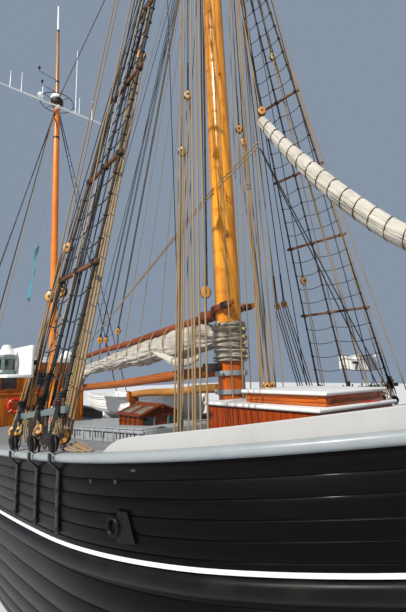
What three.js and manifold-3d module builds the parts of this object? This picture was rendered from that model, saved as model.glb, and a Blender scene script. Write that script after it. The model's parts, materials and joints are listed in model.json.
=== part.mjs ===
// A two-masted wooden sailing ship of the Baltic trader kind, gaff rigged, moored with her sails furled.
// Millimetres. +X is the bow, +Y is port, +Z is up. The origin is on the waterline amidships.
import * as THREE from 'three';
import { mergeVertices } from 'three/addons/utils/BufferGeometryUtils.js';
import Module from 'manifold-3d';

const wasm = await Module();
wasm.setup();

const SEAT = 0.3; // what two touching pieces keep between them
const RUN = 8; // running clearance of pieces that turn on each other

// Hull lines
const BOW_X = 9300; // stem at the rail
const STERN_X = -9300; // transom at the rail
const BEAM_HALF = 3050;
const FULL_X = 4160; // where the topsides start to close towards the bow
const BOW_POWER = 2.35;
const RABBET_Z = -1950;
const KEEL_Z = -2250;
const KEEL_HALF = 110;
const SHEER_LOW_X = -5700;
const RAIL_LOW_Z = 1500;
const RAIL_TO_DECK_EDGE = 420; // rail top down to the hull's edge under the bulwark
const RAIL_THICK = 75;
const RAIL_OUT = 60;
const RAIL_IN = 180;
const BULWARK_THICK = 70;
const DECK_THICK = 40;
const CAMBER = 150;

// Masts: foot on deck, rake in degrees, radii
const MAIN_X = 3500;
const MAIN_RAKE = 1.8;
const MAIN_HEAD_Z = 15500;
const MAIN_HOUNDS_Z = 14600;
const MAIN_TOP_Z = 20200;
const MIZZEN_X = -4380;
const MIZZEN_RAKE = 4.07;
const MIZZEN_HOUNDS_Z = 12000;
const MIZZEN_HEAD_Z = 12600;
const MIZZEN_TOP_Z = 16700;

// Main boom, gaff and their sail: places on the centreline, by x and z
const BOOM_FORE = { x: 3190, z: 2790, r: 100 };
const BOOM_AFT = { x: -3800, z: 2300, r: 80 };
const GAFF_FORE = { x: 3180, z: 3690, r: 85 };
const GAFF_AFT = { x: -2700, z: 3170, r: 55 };

const paint = (color, roughness, metalness = 0) => new THREE.MeshStandardMaterial({ color, roughness, metalness });
const BLACK = paint(0x141416, 0.45);
const GREY_BLUE = paint(0xa9b2ba, 0.6);
const DECK_GREY = paint(0x9aa5ae, 0.75);
const WHITE = paint(0xe4e4e0, 0.45);
const VARNISH = paint(0xb5682a, 0.3);
const RED_BROWN = paint(0x7c3114, 0.35);
const CANVAS = paint(0xd9d4c6, 0.9);
const TARRED = paint(0x1c1a18, 0.8);
const IRON = paint(0x3a3c3e, 0.5, 0.8);
const BRONZE = paint(0x9a7a3a, 0.35, 0.9);
const OILED = paint(0x8a5a2c, 0.5);
const TEAL = paint(0x2f9a98, 0.8);

// Solids
const V = (x, y, z) => new THREE.Vector3(x, y, z);

function solid(geometry) {
  const bare = geometry.index ? geometry.toNonIndexed() : geometry.clone();
  for (const name of Object.keys(bare.attributes)) if (name !== 'position') bare.deleteAttribute(name);
  const merged = mergeVertices(bare, 0.01);
  const index = [];
  for (let i = 0; i < merged.index.count; i += 3) {
    const [a, b, c] = [0, 1, 2].map((k) => merged.index.getX(i + k));
    if (a !== b && b !== c && c !== a) index.push(a, b, c);
  }
  return new wasm.Manifold(new wasm.Mesh({
    numProp: 3,
    vertProperties: new Float32Array(merged.attributes.position.array),
    triVerts: new Uint32Array(index),
  }));
}

function box(x0, x1, y0, y1, z0, z1) {
  const g = new THREE.BoxGeometry(x1 - x0, y1 - y0, z1 - z0);
  g.translate((x0 + x1) / 2, (y0 + y1) / 2, (z0 + z1) / 2);
  return solid(g);
}

// A round spar from a to b with a radius at each end.
function spar(a, b, ra, rb = ra, sides = 12) {
  const length = a.distanceTo(b);
  const g = new THREE.CylinderGeometry(rb, ra, length, sides);
  const turn = new THREE.Quaternion().setFromUnitVectors(V(0, 1, 0), b.clone().sub(a).normalize());
  g.applyQuaternion(turn);
  g.translate(...a.clone().add(b).multiplyScalar(0.5).toArray());
  return solid(g);
}

// A tube of n sides through points, along straight lines or a smooth curve.
function tube(points, radius, sides = 6, steps = 0) {
  const path = steps ? new THREE.CatmullRomCurve3(points) : new THREE.CurvePath();
  if (!steps) for (let i = 1; i < points.length; i++) path.add(new THREE.LineCurve3(points[i - 1], points[i]));
  const shape = new THREE.Shape();
  for (let i = 0; i < sides; i++) {
    const a = (i / sides) * 2 * Math.PI;
    const go = i ? 'lineTo' : 'moveTo';
    shape[go](radius * Math.cos(a), radius * Math.sin(a));
  }
  shape.closePath();
  const options = { steps: steps || points.length - 1, bevelEnabled: false, extrudePath: path };
  return solid(new THREE.ExtrudeGeometry(shape, options));
}

// A flat outline in the XZ plane, from y0 to y1.
function plate(outline, y0, y1) {
  const shape = new THREE.Shape(outline.map(([x, z]) => new THREE.Vector2(x, z)));
  const g = new THREE.ExtrudeGeometry(shape, { depth: y1 - y0, bevelEnabled: false });
  g.rotateX(Math.PI / 2);
  g.translate(0, y1, 0);
  return solid(g);
}

// An outline in the YZ plane, from x0 to x1.
function slab(outline, x0, x1) {
  const shape = new THREE.Shape(outline.map(([y, z]) => new THREE.Vector2(y, z)));
  const g = new THREE.ExtrudeGeometry(shape, { depth: x1 - x0, bevelEnabled: false });
  g.rotateZ(Math.PI / 2);
  g.rotateY(Math.PI / 2);
  g.translate(x0, 0, 0);
  return solid(g);
}

// A skin over rings of equal count, each a closed loop seen in the YZ plane, with both ends closed.
function loft(rings) {
  const count = rings[0].length;
  const position = [];
  const put = (...points) => points.forEach((p) => position.push(p.x, p.y, p.z));
  for (let i = 1; i < rings.length; i++) {
    for (let j = 0; j < count; j++) {
      const k = (j + 1) % count;
      const [a, b, c, d] = [rings[i - 1][j], rings[i - 1][k], rings[i][k], rings[i][j]];
      put(a, b, c, a, c, d);
    }
  }
  const cap = (ring, first) => {
    const flat = ring.map((p) => new THREE.Vector2(p.y, p.z));
    const turn = Math.sign(THREE.ShapeUtils.area(flat)) * (first ? -1 : 1);
    for (const face of THREE.ShapeUtils.triangulateShape(flat, [])) {
      const [a, b, c] = face.map((n) => ring[n]);
      const area = THREE.ShapeUtils.area(face.map((n) => flat[n]));
      area * turn > 0 ? put(a, b, c) : put(a, c, b);
    }
  };
  cap(rings[0], true);
  cap(rings[rings.length - 1], false);
  const outward = THREE.ShapeUtils.area(rings[0].map((p) => new THREE.Vector2(p.y, p.z)))
    * (rings[rings.length - 1][0].x - rings[0][0].x) > 0;
  if (!outward) {
    for (let i = 0; i < position.length; i += 9) {
      for (let k = 0; k < 3; k++) {
        [position[i + 3 + k], position[i + 6 + k]] = [position[i + 6 + k], position[i + 3 + k]];
      }
    }
  }
  const g = new THREE.BufferGeometry();
  g.setAttribute('position', new THREE.Float32BufferAttribute(position, 3));
  return solid(g);
}

const join = (...parts) => parts.flat().reduce((whole, part) => whole.add(part));
const cut = (whole, ...parts) => parts.flat().reduce((rest, part) => rest.subtract(part), whole);

const ship = new THREE.Group();

function piece(name, shape, material) {
  const mesh = shape.getMesh();
  const g = new THREE.BufferGeometry();
  const xyz = new Float32Array(mesh.numVert * 3);
  for (let i = 0; i < mesh.numVert; i++) {
    for (let k = 0; k < 3; k++) xyz[3 * i + k] = mesh.vertProperties[i * mesh.numProp + k];
  }
  g.setAttribute('position', new THREE.BufferAttribute(xyz, 3));
  g.setIndex(new THREE.BufferAttribute(new Uint32Array(mesh.triVerts), 1));
  g.computeVertexNormals();
  const made = new THREE.Mesh(g, material);
  made.name = name;
  ship.add(made);
}

// Lines of the hull
const mix = (a, b, t) => a + (b - a) * t;
const ease = (t) => {
  const c = Math.min(Math.max(t, 0), 1);
  return c * c * (3 - 2 * c);
};

function railTop(x) {
  const rise = x > SHEER_LOW_X ? 5.9e-6 : 2.0e-5;
  return RAIL_LOW_Z + rise * (x - SHEER_LOW_X) ** 2;
}

function halfBreadth(X) {
  if (X > FULL_X) {
    const t = (X - FULL_X) / (BOW_X - FULL_X);
    return KEEL_HALF + (BEAM_HALF - KEEL_HALF) * (1 - t ** BOW_POWER);
  }
  const t = (FULL_X - X) / 14000;
  return BEAM_HALF * (1 - 0.35 * t ** 2.2);
}

function stemX(z) {
  const d = (2830 - z) / 1000;
  return BOW_X - 49 * d - 95 * d * d;
}

const sternX = (z) => STERN_X + 0.1887 * (1759 - z);
const deckEdge = (x) => railTop(x) - RAIL_TO_DECK_EDGE;

// Stations are drawn upright and then raked near the ends, so that they meet the stem and the sternpost.
function raked(X, z) {
  const fore = 6000;
  const aft = -6500;
  if (X > fore) return fore + ((X - fore) * (stemX(z) - fore)) / (BOW_X - fore);
  if (X < aft) return aft + ((X - aft) * (sternX(z) - aft)) / (STERN_X - aft);
  return X;
}

// The hull's side at a station and a share h of its height, 0 at the rabbet and 1 at the deck's edge.
function side(X, h) {
  const z = mix(RABBET_Z, deckEdge(X), h);
  const bow = ease((X - 1500) / 7300);
  const stern = ease((-2500 - X) / 6800);
  const power = 2.3 - 1.05 * bow - 0.9 * stern;
  const deadwood = 0.42 * stern;
  const g = Math.max(0, (h - deadwood) / (1 - deadwood));
  const fullness = (1 - (1 - g) ** power) ** (1 / power);
  return V(raked(X, z), KEEL_HALF + (halfBreadth(X) - KEEL_HALF) * fullness, z);
}

const sideAt = (X, z) => (z >= deckEdge(X)
  ? V(raked(X, z), halfBreadth(X), z)
  : side(X, (z - RABBET_Z) / (deckEdge(X) - RABBET_Z)));

// Deck surface: sheer along, camber across.
function deckTop(x, y) {
  const edge = deckEdge(x) + DECK_THICK;
  const share = Math.min(Math.abs(y) / Math.max(halfBreadth(x), 400), 1);
  return edge + CAMBER * (1 - share * share);
}

const STATIONS = [-9300, -8900, -8300, -7500, -6500, -5200, -3600, -1800, 0, 1800, 3600, 5000,
  6200, 7200, 8000, 8600, 9000, 9300];
const LEVELS = [0, 0.06, 0.14, 0.24, 0.34, 0.44, 0.54, 0.64, 0.74, 0.82, 0.91, 1];
const ACROSS = [0.75, 0.4, 0, -0.4, -0.75];

// The hull's skin, or with grow the same skin moved out by that much, to cut what lies against it.
function hullSkin(grow = 0) {
  return loft(STATIONS.map((X, n) => {
    const end = n === 0 ? -grow : n === STATIONS.length - 1 ? grow : 0;
    const starboard = LEVELS.map((h) => side(X, 1 - h)).map((p) => V(p.x + end, -p.y - grow, p.z));
    const port = LEVELS.map((h) => side(X, h)).map((p) => V(p.x + end, p.y + grow, p.z));
    starboard[0].z += grow;
    port[port.length - 1].z += grow;
    const edge = side(X, 1);
    const top = ACROSS.map((s) => V(edge.x + end, s * edge.y, deckTop(edge.x, s * edge.y) - DECK_THICK + grow));
    return [...starboard, ...port, ...top];
  }));
}

// Propeller shaft, its bore in the hull, and the aperture ahead of the sternpost that the propeller turns in
const SHAFT = { z: -1040, r: 45, bore: 46.2 };
const APERTURE = { x0: -8700, x1: -8280, half: 700, z0: -1560, z1: -520 };

function hullBody() {
  const body = hullSkin();
  const aperture = box(APERTURE.x0, APERTURE.x1, -APERTURE.half, APERTURE.half, APERTURE.z0, APERTURE.z1);
  const shaftHole = spar(V(-8300, 0, SHAFT.z), V(-7900, 0, SHAFT.z), SHAFT.bore, SHAFT.bore, 20);
  return cut(body, aperture, shaftHole, stemTimber(SEAT));
}

// The deck's upper surface at a station, from port to starboard, raised by lift.
function deckLine(X, lift = 0) {
  const x = X === STERN_X ? side(X, 1).x + 75 : side(X, 1).x;
  const half = halfBreadth(X) - BULWARK_THICK - 14;
  return [1, ...ACROSS, -1].map((s) => V(x, s * half, deckTop(x, s * half) + lift));
}

const DECK_STATIONS = STATIONS.slice(0, -1);

function deckSlab() {
  const slabs = loft(DECK_STATIONS.map((X) => [...deckLine(X), ...deckLine(X, -90).reverse()]));
  return cut(slabs, hullSkin(SEAT));
}

// Everything that stands on deck is cut off by this solid at its foot.
function deckCutter() {
  return loft(DECK_STATIONS.map((X) => {
    const line = deckLine(X, SEAT);
    return [...line, V(line[0].x, -3200, -500), V(line[0].x, 3200, -500)];
  }));
}

const belowDeck = deckCutter();
const onDeck = (shape) => cut(shape, belowDeck);

// A strip along one side, given by its section at each station as [out, z] pairs. Out is from the hull's side.
function strip(sign, stations, section) {
  const rings = stations.map((X) => section(X).map(([out, z]) => {
    const p = sideAt(X, z);
    return V(p.x, sign * (p.y + out), z);
  }));
  return loft(rings);
}

const RAIL_STATIONS = [-9230, -8900, -8300, -7500, -6500, -5200, -3600, -1800, 0, 1800, 3600, 5000, 6200,
  7200, 8000, 8600, 8900, 9100, 9230, 9300];

const bulwark = (sign, grow = 0) => cut(strip(sign, RAIL_STATIONS.slice(0, -1), (X) => {
  const low = deckEdge(X) + 2 * SEAT - grow;
  const high = railTop(X) - RAIL_THICK - SEAT;
  return [[grow, low], [grow, high], [-BULWARK_THICK, high], [-BULWARK_THICK, low]];
}), hullSkin(SEAT), stemTimber(SEAT));

const capRail = (sign, grow = 0) => cut(strip(sign, RAIL_STATIONS, (X) => {
  const top = railTop(X) + grow;
  const under = railTop(X) - RAIL_THICK - grow;
  const out = RAIL_OUT + grow;
  const inner = -Math.min(RAIL_IN, halfBreadth(X) - 1);
  return [[out, under], [out, top], [inner, top], [inner, under]];
}), stemTimber(SEAT));

function transomBulwark() {
  const half = halfBreadth(-9200) - BULWARK_THICK - 10;
  const [low, high] = [deckEdge(STERN_X) + 1, railTop(STERN_X) + 10];
  const thick = 69;
  const blank = plate([[sternX(low) + 1, low], [sternX(low) + thick, low], [sternX(high) + thick, high],
    [sternX(high) + 1, high]], -half, half);
  return cut(blank, hullSkin(SEAT), deckCutter(), capRail(1, SEAT), capRail(-1, SEAT));
}

// White strake raised on the rail forward, low at its aft end.
const STRAKE_STATIONS = [5150, 5300, 5600, 6200, 7200, 8000, 8600, 8900, 9080];
const STRAKE_RISE = [60, 95, 98, 105, 122, 138, 148, 152, 155];
const washStrake = (sign) => cut(strip(sign, STRAKE_STATIONS, (X) => {
  const foot = railTop(X) - 20;
  const head = railTop(X) + STRAKE_RISE[STRAKE_STATIONS.indexOf(X)];
  return [[-30, foot], [-35, head], [-80, head], [-75, foot]];
}), capRail(sign, SEAT));

// Rounded rubbing strake below the white stripe.
const STRIPE_DROP = 682; // rail top down to the stripe's top edge
const STRIPE_WIDE = 32;
const RUB_STATIONS = [-9200, -8300, -7500, -6500, -5200, -3600, -1800, 0, 1800, 3600, 5000, 6200,
  7200, 8000, 8600, 8900, 9150];
const rubbingStrake = (sign, grow = 0) => cut(strip(sign, RUB_STATIONS, (X) => {
  const top = railTop(X) - STRIPE_DROP - STRIPE_WIDE - 6;
  return [[-40, top + grow], [0, top + grow], [38 + grow, top - 25], [50 + grow, top - 70], [38 + grow, top - 115],
    [0, top - 140 - grow], [-40, top - 140 - grow]];
}), hullSkin(SEAT));

// Backbone
const STEM_HALF = 100;
const STEM_RABBET = 12; // how deep the stem is let into the hull's fore end
const STEM_FOOT_X = 6600;
function stemTimber(grow = 0) {
  const zs = [3260, 2830, 2200, 1500, 800, 0, -700, -1300, RABBET_Z - SEAT];
  const aft = zs.map((z) => [stemX(Math.min(z, 2830)) - STEM_RABBET - grow, z]);
  const fore = [[STEM_FOOT_X, KEEL_Z], [7350, KEEL_Z + 60], [8150, -1300], [8640, -500], [8880, 400], [9080, 1200],
    [9300, 2000], [9560, 2700], [9640, 3260]];
  const outline = [...aft, [STEM_FOOT_X, RABBET_Z - SEAT], ...fore];
  return plate(outline, -STEM_HALF - grow, STEM_HALF + grow);
}
const stemPiece = () => cut(stemTimber(), spritSpar(SEAT));

const HEEL_Z = -2060; // top of the keel's heel, which carries the rudder
function keelTimber() {
  const top = RABBET_Z - SEAT;
  const fore = STEM_FOOT_X - SEAT;
  const outline = [[-9360, KEEL_Z], [fore, KEEL_Z], [fore, top], [-8570, top], [-8570, HEEL_Z], [-9360, HEEL_Z]];
  return plate(outline, -KEEL_HALF, KEEL_HALF);
}

const POST_DEPTH = 200;
function sternPost() {
  const foot = HEEL_Z + SEAT;
  const head = 1500;
  const outline = [[sternX(foot) - SEAT, foot], [sternX(head) - SEAT, head],
    [sternX(head) - POST_DEPTH, head], [sternX(foot) - POST_DEPTH, foot]];
  return plate(outline, -100, 100);
}

// Rudder, hung on the sternpost; its axis runs along the post
const RUDDER_R = 62;
const rudderAxis = (z) => sternX(z) - POST_DEPTH - RUDDER_R - RUN;
function rudder() {
  const low = -1990;
  const high = 1950;
  const axis = (z) => V(rudderAxis(z), 0, z);
  const stock = spar(axis(low), axis(high), RUDDER_R, RUDDER_R, 16);
  const pin = spar(axis(HEEL_Z + SEAT + 4.9), axis(low + 40), 26, 26, 12);
  const blade = plate([[rudderAxis(low), low + 14], [rudderAxis(low) - 950, low + 60], [rudderAxis(-900) - 900, -900],
    [rudderAxis(300) - 480, 300], [rudderAxis(1700) - 330, 1700], [rudderAxis(1700), 1700]], -45, 45);
  const straps = [-1500, -300, 900].map((z) => plate([[rudderAxis(z) - 20, z], [rudderAxis(z) - 560, z - 20],
    [rudderAxis(z) - 560, z - 110], [rudderAxis(z) - 20, z - 110]], -56, 56));
  return join(stock, pin, blade, straps);
}

const PROP_X = -8460;
function propeller() {
  const hub = spar(V(PROP_X - 100, 0, SHAFT.z), V(PROP_X + 100, 0, SHAFT.z), 60, 95, 16);
  const shaft = spar(V(-8400, 0, SHAFT.z), V(-7960, 0, SHAFT.z), SHAFT.r, SHAFT.r, 16);
  const blades = [0, 1, 2].map((n) => {
    const shape = new THREE.Shape();
    shape.moveTo(60, 50);
    shape.lineTo(-60, 50);
    shape.absellipse(0, 270, 135, 180, Math.PI * 1.35, Math.PI * -0.35, true);
    shape.closePath();
    const g = new THREE.ExtrudeGeometry(shape, { depth: 22, bevelEnabled: false, curveSegments: 8 });
    g.translate(0, 0, -11);
    g.rotateY(Math.PI / 2 - 0.55);
    g.rotateX(Math.PI / 2);
    g.rotateX((n * 2 * Math.PI) / 3);
    g.translate(PROP_X, 0, SHAFT.z);
    return solid(g);
  });
  return join(hub, shaft, blades);
}

// Bow
const SPRIT = { heel: V(7000, 0, 2960), end: V(15300, 0, 4330) };
const spritAt = (x) => SPRIT.heel.clone().lerp(SPRIT.end, (x - SPRIT.heel.x) / (SPRIT.end.x - SPRIT.heel.x));
const spritSpar = (grow = 0) => spar(SPRIT.heel, SPRIT.end, 150 + grow, 85 + grow, 16);
const sprit = (grow = 0) => join(spritSpar(grow),
  spar(spritAt(14900 - grow), spritAt(14990 + grow), 112 + grow, 112 + grow, 16));
const bowsprit = () => onDeck(join(sprit(), box(6850, 7030, -90, 90, 2250, 3180)));

// Masts
const rakeOf = (deg) => Math.tan((deg * Math.PI) / 180);
const mainAt = (z) => V(MAIN_X - rakeOf(MAIN_RAKE) * (z - 1700), 0, z);
const mizzenAt = (z) => V(MIZZEN_X - rakeOf(MIZZEN_RAKE) * (z - 1400), 0, z);
const MAIN_RADII = [[1500, 212], [2600, 210], [6000, 198], [10000, 176], [14300, 150], [15500, 135]];

function mainMast(extra = 0) {
  return stack(MAIN_RADII.map(([z, radius]) => {
    const centre = mainAt(z);
    const ring = [];
    for (let k = 0; k < 20; k++) {
      const a = (k / 20) * 2 * Math.PI;
      const r = radius + extra;
      ring.push(V(centre.x + r * Math.cos(a), r * Math.sin(a), centre.z));
    }
    return ring;
  }));
}

// Iron-bound collar that the boom's jaws rest on, square to the mast
const SADDLE = { low: 2705, top: 2785, r: 250 };
const saddle = (grow = 0) => spar(mainAt(SADDLE.low), mainAt(SADDLE.top + grow), SADDLE.r + 20 * grow,
  SADDLE.r + 20 * grow, 24);
const mainMastPiece = () => onDeck(join(mainMast(), saddle()));

// A skin over level rings, one above the other.
function stack(rings) {
  const turned = rings.map((ring) => ring.map((p) => V(p.z, p.x, p.y)));
  const made = loft(turned).getMesh();
  const g = new THREE.BufferGeometry();
  const out = [];
  for (const n of made.triVerts) {
    const [z, x, y] = [0, 1, 2].map((k) => made.vertProperties[n * made.numProp + k]);
    out.push(x, y, z);
  }
  g.setAttribute('position', new THREE.Float32BufferAttribute(out, 3));
  return solid(g);
}

const TOPMAST_X = 300; // how far the topmast stands before the lower mast
const topmastAt = (z) => mainAt(z).add(V(TOPMAST_X, 0, 0));
const topmast = (extra = 0) => spar(topmastAt(14250), topmastAt(MAIN_TOP_Z), 100 + extra, 50 + extra, 14);

function crosstrees() {
  const z = MAIN_HOUNDS_Z - 120;
  const c = mainAt(z);
  const trestles = [-1, 1].map((s) => box(c.x - 260, c.x + 520, s * 210 - 45, s * 210 + 45, z, z + 120));
  const trees = [-230, 470].map((dx) => box(c.x + dx - 40, c.x + dx + 40, -900, 900, z + 20, z + 90));
  const cheeks = [-1, 1].map((s) => box(c.x - 120, c.x + 120, s * 200 - 55, s * 200 + 55, z - 130, z + 10));
  return cut(join(trestles, trees, cheeks), mainMast(SEAT), topmast(SEAT));
}

function mastCap() {
  const z = MAIN_HEAD_Z - 330;
  const c = mainAt(z);
  const body = box(c.x - 200, c.x + 470, -190, 190, z, z + 110);
  return cut(body, mainMast(SEAT), topmast(SEAT));
}

const mizzenLower = (grow = 0) => spar(mizzenAt(1200), mizzenAt(MIZZEN_HEAD_Z), 120 + grow, 95 + grow, 16);

const mizzenDrum = (grow = 0) => spar(mizzenAt(12330 - grow), mizzenAt(12620 + grow), 225 + grow, 225 + grow, 16);

function mizzenMast() {
  const lower = mizzenLower();
  const upper = spar(mizzenAt(MIZZEN_HEAD_Z - 60), mizzenAt(15600), 70, 48, 14);
  const truck = spar(mizzenAt(15560), mizzenAt(MIZZEN_TOP_Z), 34, 26, 10);
  return onDeck(join(lower, upper, truck, mizzenDrum()));
}

// White yard with aerials across the mizzen
function mizzenYard() {
  const z = 12180;
  const c = mizzenAt(z);
  const x = c.x + 150;
  const yard = spar(V(x, -2050, z), V(x, 2050, z), 30, 30, 8);
  const clamp = box(c.x + 60, x + 40, -60, 60, z - 50, z + 50);
  const whips = [[-1600, 620], [-1250, 720], [-560, 560], [620, 2600], [760, 700], [1250, 800]];
  const rods = whips.map(([y, tall]) => spar(V(x, y, z), V(x, y, z + tall), 12, 9, 6));
  return cut(join(yard, clamp, rods), mizzenLower(SEAT));
}

// Main boom, gaff and furled sail
function clearOfMast(shape, z0, z1, extra) {
  const r = 214 + extra;
  return cut(shape, spar(mainAt(z0), mainAt(z1), r, r, 24));
}

function mainBoom() {
  const fore = V(BOOM_FORE.x, 0, BOOM_FORE.z);
  const aft = V(BOOM_AFT.x, 0, BOOM_AFT.z);
  const body = spar(fore, aft, BOOM_FORE.r, BOOM_AFT.r, 14);
  const jaws = [-1, 1].map((s) => plate([[2950, 2760], [3560, 2770], [3580, 2900], [2950, 2905]],
    Math.min(s * 60, s * 290), Math.max(s * 60, s * 290)));
  const bridge = box(2960, 3240, -200, 200, 2760, 2905);
  return cut(clearOfMast(join(body, jaws, bridge), 2400, 3100, RUN), saddle(SEAT));
}

function mainGaff() {
  const fore = V(GAFF_FORE.x, 0, GAFF_FORE.z);
  const aft = V(GAFF_AFT.x, 0, GAFF_AFT.z);
  const body = spar(fore, aft, GAFF_FORE.r, GAFF_AFT.r, 12);
  const horns = [-1, 1].map((s) => plate([[3000, 3620], [3620, 3700], [3760, 3800], [3740, 3850], [3560, 3790],
    [3000, 3760]], Math.min(s * 70, s * 285), Math.max(s * 70, s * 285)));
  const bridge = box(2950, 3260, -200, 200, 3625, 3750);
  return clearOfMast(join(body, horns, bridge), 3300, 4200, RUN);
}

// The sail lies in a bundle under the gaff: centre height, half height and half width along it.
const BUNDLE = [
  { x: 3300, z: 3330, high: 225, wide: 170 },
  { x: 2860, z: 3330, high: 250, wide: 190 },
  { x: 2300, z: 3290, high: 275, wide: 230 },
  { x: 1400, z: 3210, high: 250, wide: 220 },
  { x: 400, z: 3110, high: 215, wide: 200 },
  { x: -600, z: 3010, high: 180, wide: 180 },
  { x: -1600, z: 2920, high: 140, wide: 150 },
  { x: -2300, z: 2860, high: 90, wide: 110 },
];

function furledMainsail() {
  const rings = BUNDLE.map(({ x, z, high, wide }) => {
    const ring = [];
    for (let k = 0; k < 12; k++) {
      const a = (k / 12) * 2 * Math.PI;
      ring.push(V(x, wide * Math.cos(a), z + high * Math.sin(a)));
    }
    return ring;
  });
  const bed = ([a, b], sides) => spar(V(a.x, 0, a.z), V(b.x, 0, b.z), a.r + SEAT, b.r + SEAT, sides);
  const whole = cut(loft(rings), bed([GAFF_FORE, GAFF_AFT], 12), bed([BOOM_FORE, BOOM_AFT], 14), luffStack(SEAT),
    mainGaff(), mainBoom());
  return clearOfMast(whole, 2500, 4200, RUN);
}

// The luff of the sail with its hoops, heaped round the mast between the boom's jaws and the gaff's
const luffStack = (grow = 0) => spar(mainAt(2912 - grow), mainAt(3560 + grow), 285 + grow, 295 + grow, 20);
function luffHoops() {
  return cut(clearOfMast(luffStack(), 2800, 3700, RUN), mainBoom());
}

// Small spar stowed under the boom, from the mast to a crutch on the hatch
const STOWED = { fore: V(3300, 0, 2512), aft: V(350, 0, 2330), rFore: 76, rAft: 70 };
const stowedBody = (grow = 0) => spar(STOWED.fore, STOWED.aft, STOWED.rFore + grow, STOWED.rAft + grow, 12);
const stowedSpar = () => cut(stowedBody(), mainMast(SEAT));

const CRUTCH = { x0: 380, x1: 470, top: 2400 };
function sparCrutch() {
  const post = box(CRUTCH.x0, CRUTCH.x1, -45, 45, 1500, 2300);
  const yoke = box(CRUTCH.x0, CRUTCH.x1, -115, 115, 2180, CRUTCH.top);
  const mouth = box(CRUTCH.x0 - 10, CRUTCH.x1 + 10, -STOWED.rAft, STOWED.rAft, STOWED.aft.z, CRUTCH.top + 100);
  return cut(join(post, yoke), stowedBody(SEAT), mouth, hatchCutter());
}

// Standing rigging. Each side of each mast: chainplates on the hull, shrouds, sheer pole and wooden battens.
const MAIN_SHROUDS = { starboard: [4530, 4000, 3360], port: [4530, 3660, 2970] };
const MIZZEN_SHROUDS = [-4500, -5150];
const DEADEYES = { rises: [80, 350], r: 80, half: 40 };
const POLE_RISE = 350;

// The nth shroud from forward on one side, as its foot and its head.
function shroudLine(sign, X, head, n) {
  const foot = V(X, sign * (halfBreadth(X) + RAIL_OUT + 32), railTop(X) - 40);
  const top = V(head.x - 45 * n, sign * head.y, head.z - 90 * n);
  return { foot, top, at: (z) => foot.clone().lerp(top, (z - foot.z) / (top.z - foot.z)) };
}

function shroudSet(sign, feet, head, radius, battens) {
  const lines = feet.map((X, n) => shroudLine(sign, X, head, n));
  const legs = lines.map(({ foot, top }) => tube([foot, top], radius, 5));
  const eyes = lines.flatMap(({ at }, n) => DEADEYES.rises.map((rise) => {
    const mid = at(railTop(feet[n]) + rise);
    const side = V(0, DEADEYES.half, 0);
    return spar(mid.clone().sub(side), mid.clone().add(side), DEADEYES.r, DEADEYES.r, 6);
  }));
  const span = (zFore, zAft, r, over) => {
    const [a, b] = [lines[0].at(zFore), lines[lines.length - 1].at(zAft)];
    const out = b.clone().sub(a).normalize().multiplyScalar(over);
    return spar(a.sub(out), b.add(out), r, r, 4);
  };
  const pole = span(railTop(feet[0]) + POLE_RISE, railTop(feet[feet.length - 1]) + POLE_RISE, 34, 160);
  const rungs = battens.map((z) => span(z, z, 26, 90));
  const plates = feet.map((X) => chainplate(sign, X));
  return cut(join(legs, eyes, pole, rungs, plates), hullSkin(SEAT), bulwark(sign, SEAT), capRail(sign, SEAT),
    mainMast(SEAT), mizzenLower(SEAT));
}

// Iron strap from the deadeye over the rail's edge and down the side, ending above the white stripe.
function chainplate(sign, X) {
  const drops = [-20, 60, RAIL_THICK + 60, 640];
  const rings = [-28, 28].map((dx) => {
    const at = (drop, out) => V(X + dx, sign * (sideAt(X, railTop(X) - drop).y + out), railTop(X) - drop);
    const inner = drops.map((drop, k) => at(drop, k < 2 ? RAIL_OUT - 5 : -5));
    const outer = drops.map((drop, k) => at(drop, k < 2 ? RAIL_OUT + 60 : 14)).reverse();
    return [...inner, ...outer];
  });
  return loft(rings);
}

const MAIN_HEAD = { x: mainAt(MAIN_HOUNDS_Z).x + 45, y: 130, z: MAIN_HOUNDS_Z - 290 };
const MIZZEN_HEAD = { x: mizzenAt(MIZZEN_HOUNDS_Z).x + 30, y: 80, z: MIZZEN_HOUNDS_Z };
const MAIN_BATTENS = [3900, 5300, 6700, 8200];

// Sidelight: a lantern on a shelf with a long board behind it, held out from the middle main shroud by an arm
const LIGHT = { x0: 3380, x1: 4200, inner: 3200, board: 3225, out: 3430, shelf: 2755, top: 3050 };
const LAMP = { x: 3760, y: 3330, shoulder: 2975, top: 3075, r: 95, neck: 45 };
function sidelight(sign, feet) {
  const across = (x0, x1, y0, y1, z0, z1) => box(x0, x1, Math.min(sign * y0, sign * y1),
    Math.max(sign * y0, sign * y1), z0, z1);
  const board = across(LIGHT.x0, LIGHT.x1, LIGHT.inner, LIGHT.board, LIGHT.shelf, LIGHT.top);
  const shelf = across(LIGHT.x0, LIGHT.x1, LIGHT.inner, LIGHT.out, LIGHT.shelf, LIGHT.shelf + 30);
  const line = shroudLine(sign, feet[1], MAIN_HEAD, 1);
  const hold = line.at(2900);
  const clamp = across(hold.x - 45, hold.x + 45, Math.abs(hold.y) - 45, LIGHT.inner + 5, 2875, 2925);
  const at = (z) => V(LAMP.x, sign * LAMP.y, z);
  const lamp = join(spar(at(LIGHT.shelf + 20), at(LAMP.shoulder), LAMP.r, LAMP.r, 12),
    spar(at(LAMP.shoulder - 1), at(LAMP.top), LAMP.r, LAMP.neck, 12));
  return cut(join(board, shelf, clamp, lamp), tube([line.foot, line.top], 17 + SEAT, 5));
}

function wireStay(a, b, radius = 14) {
  return tube([a, b], radius, 6);
}

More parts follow.
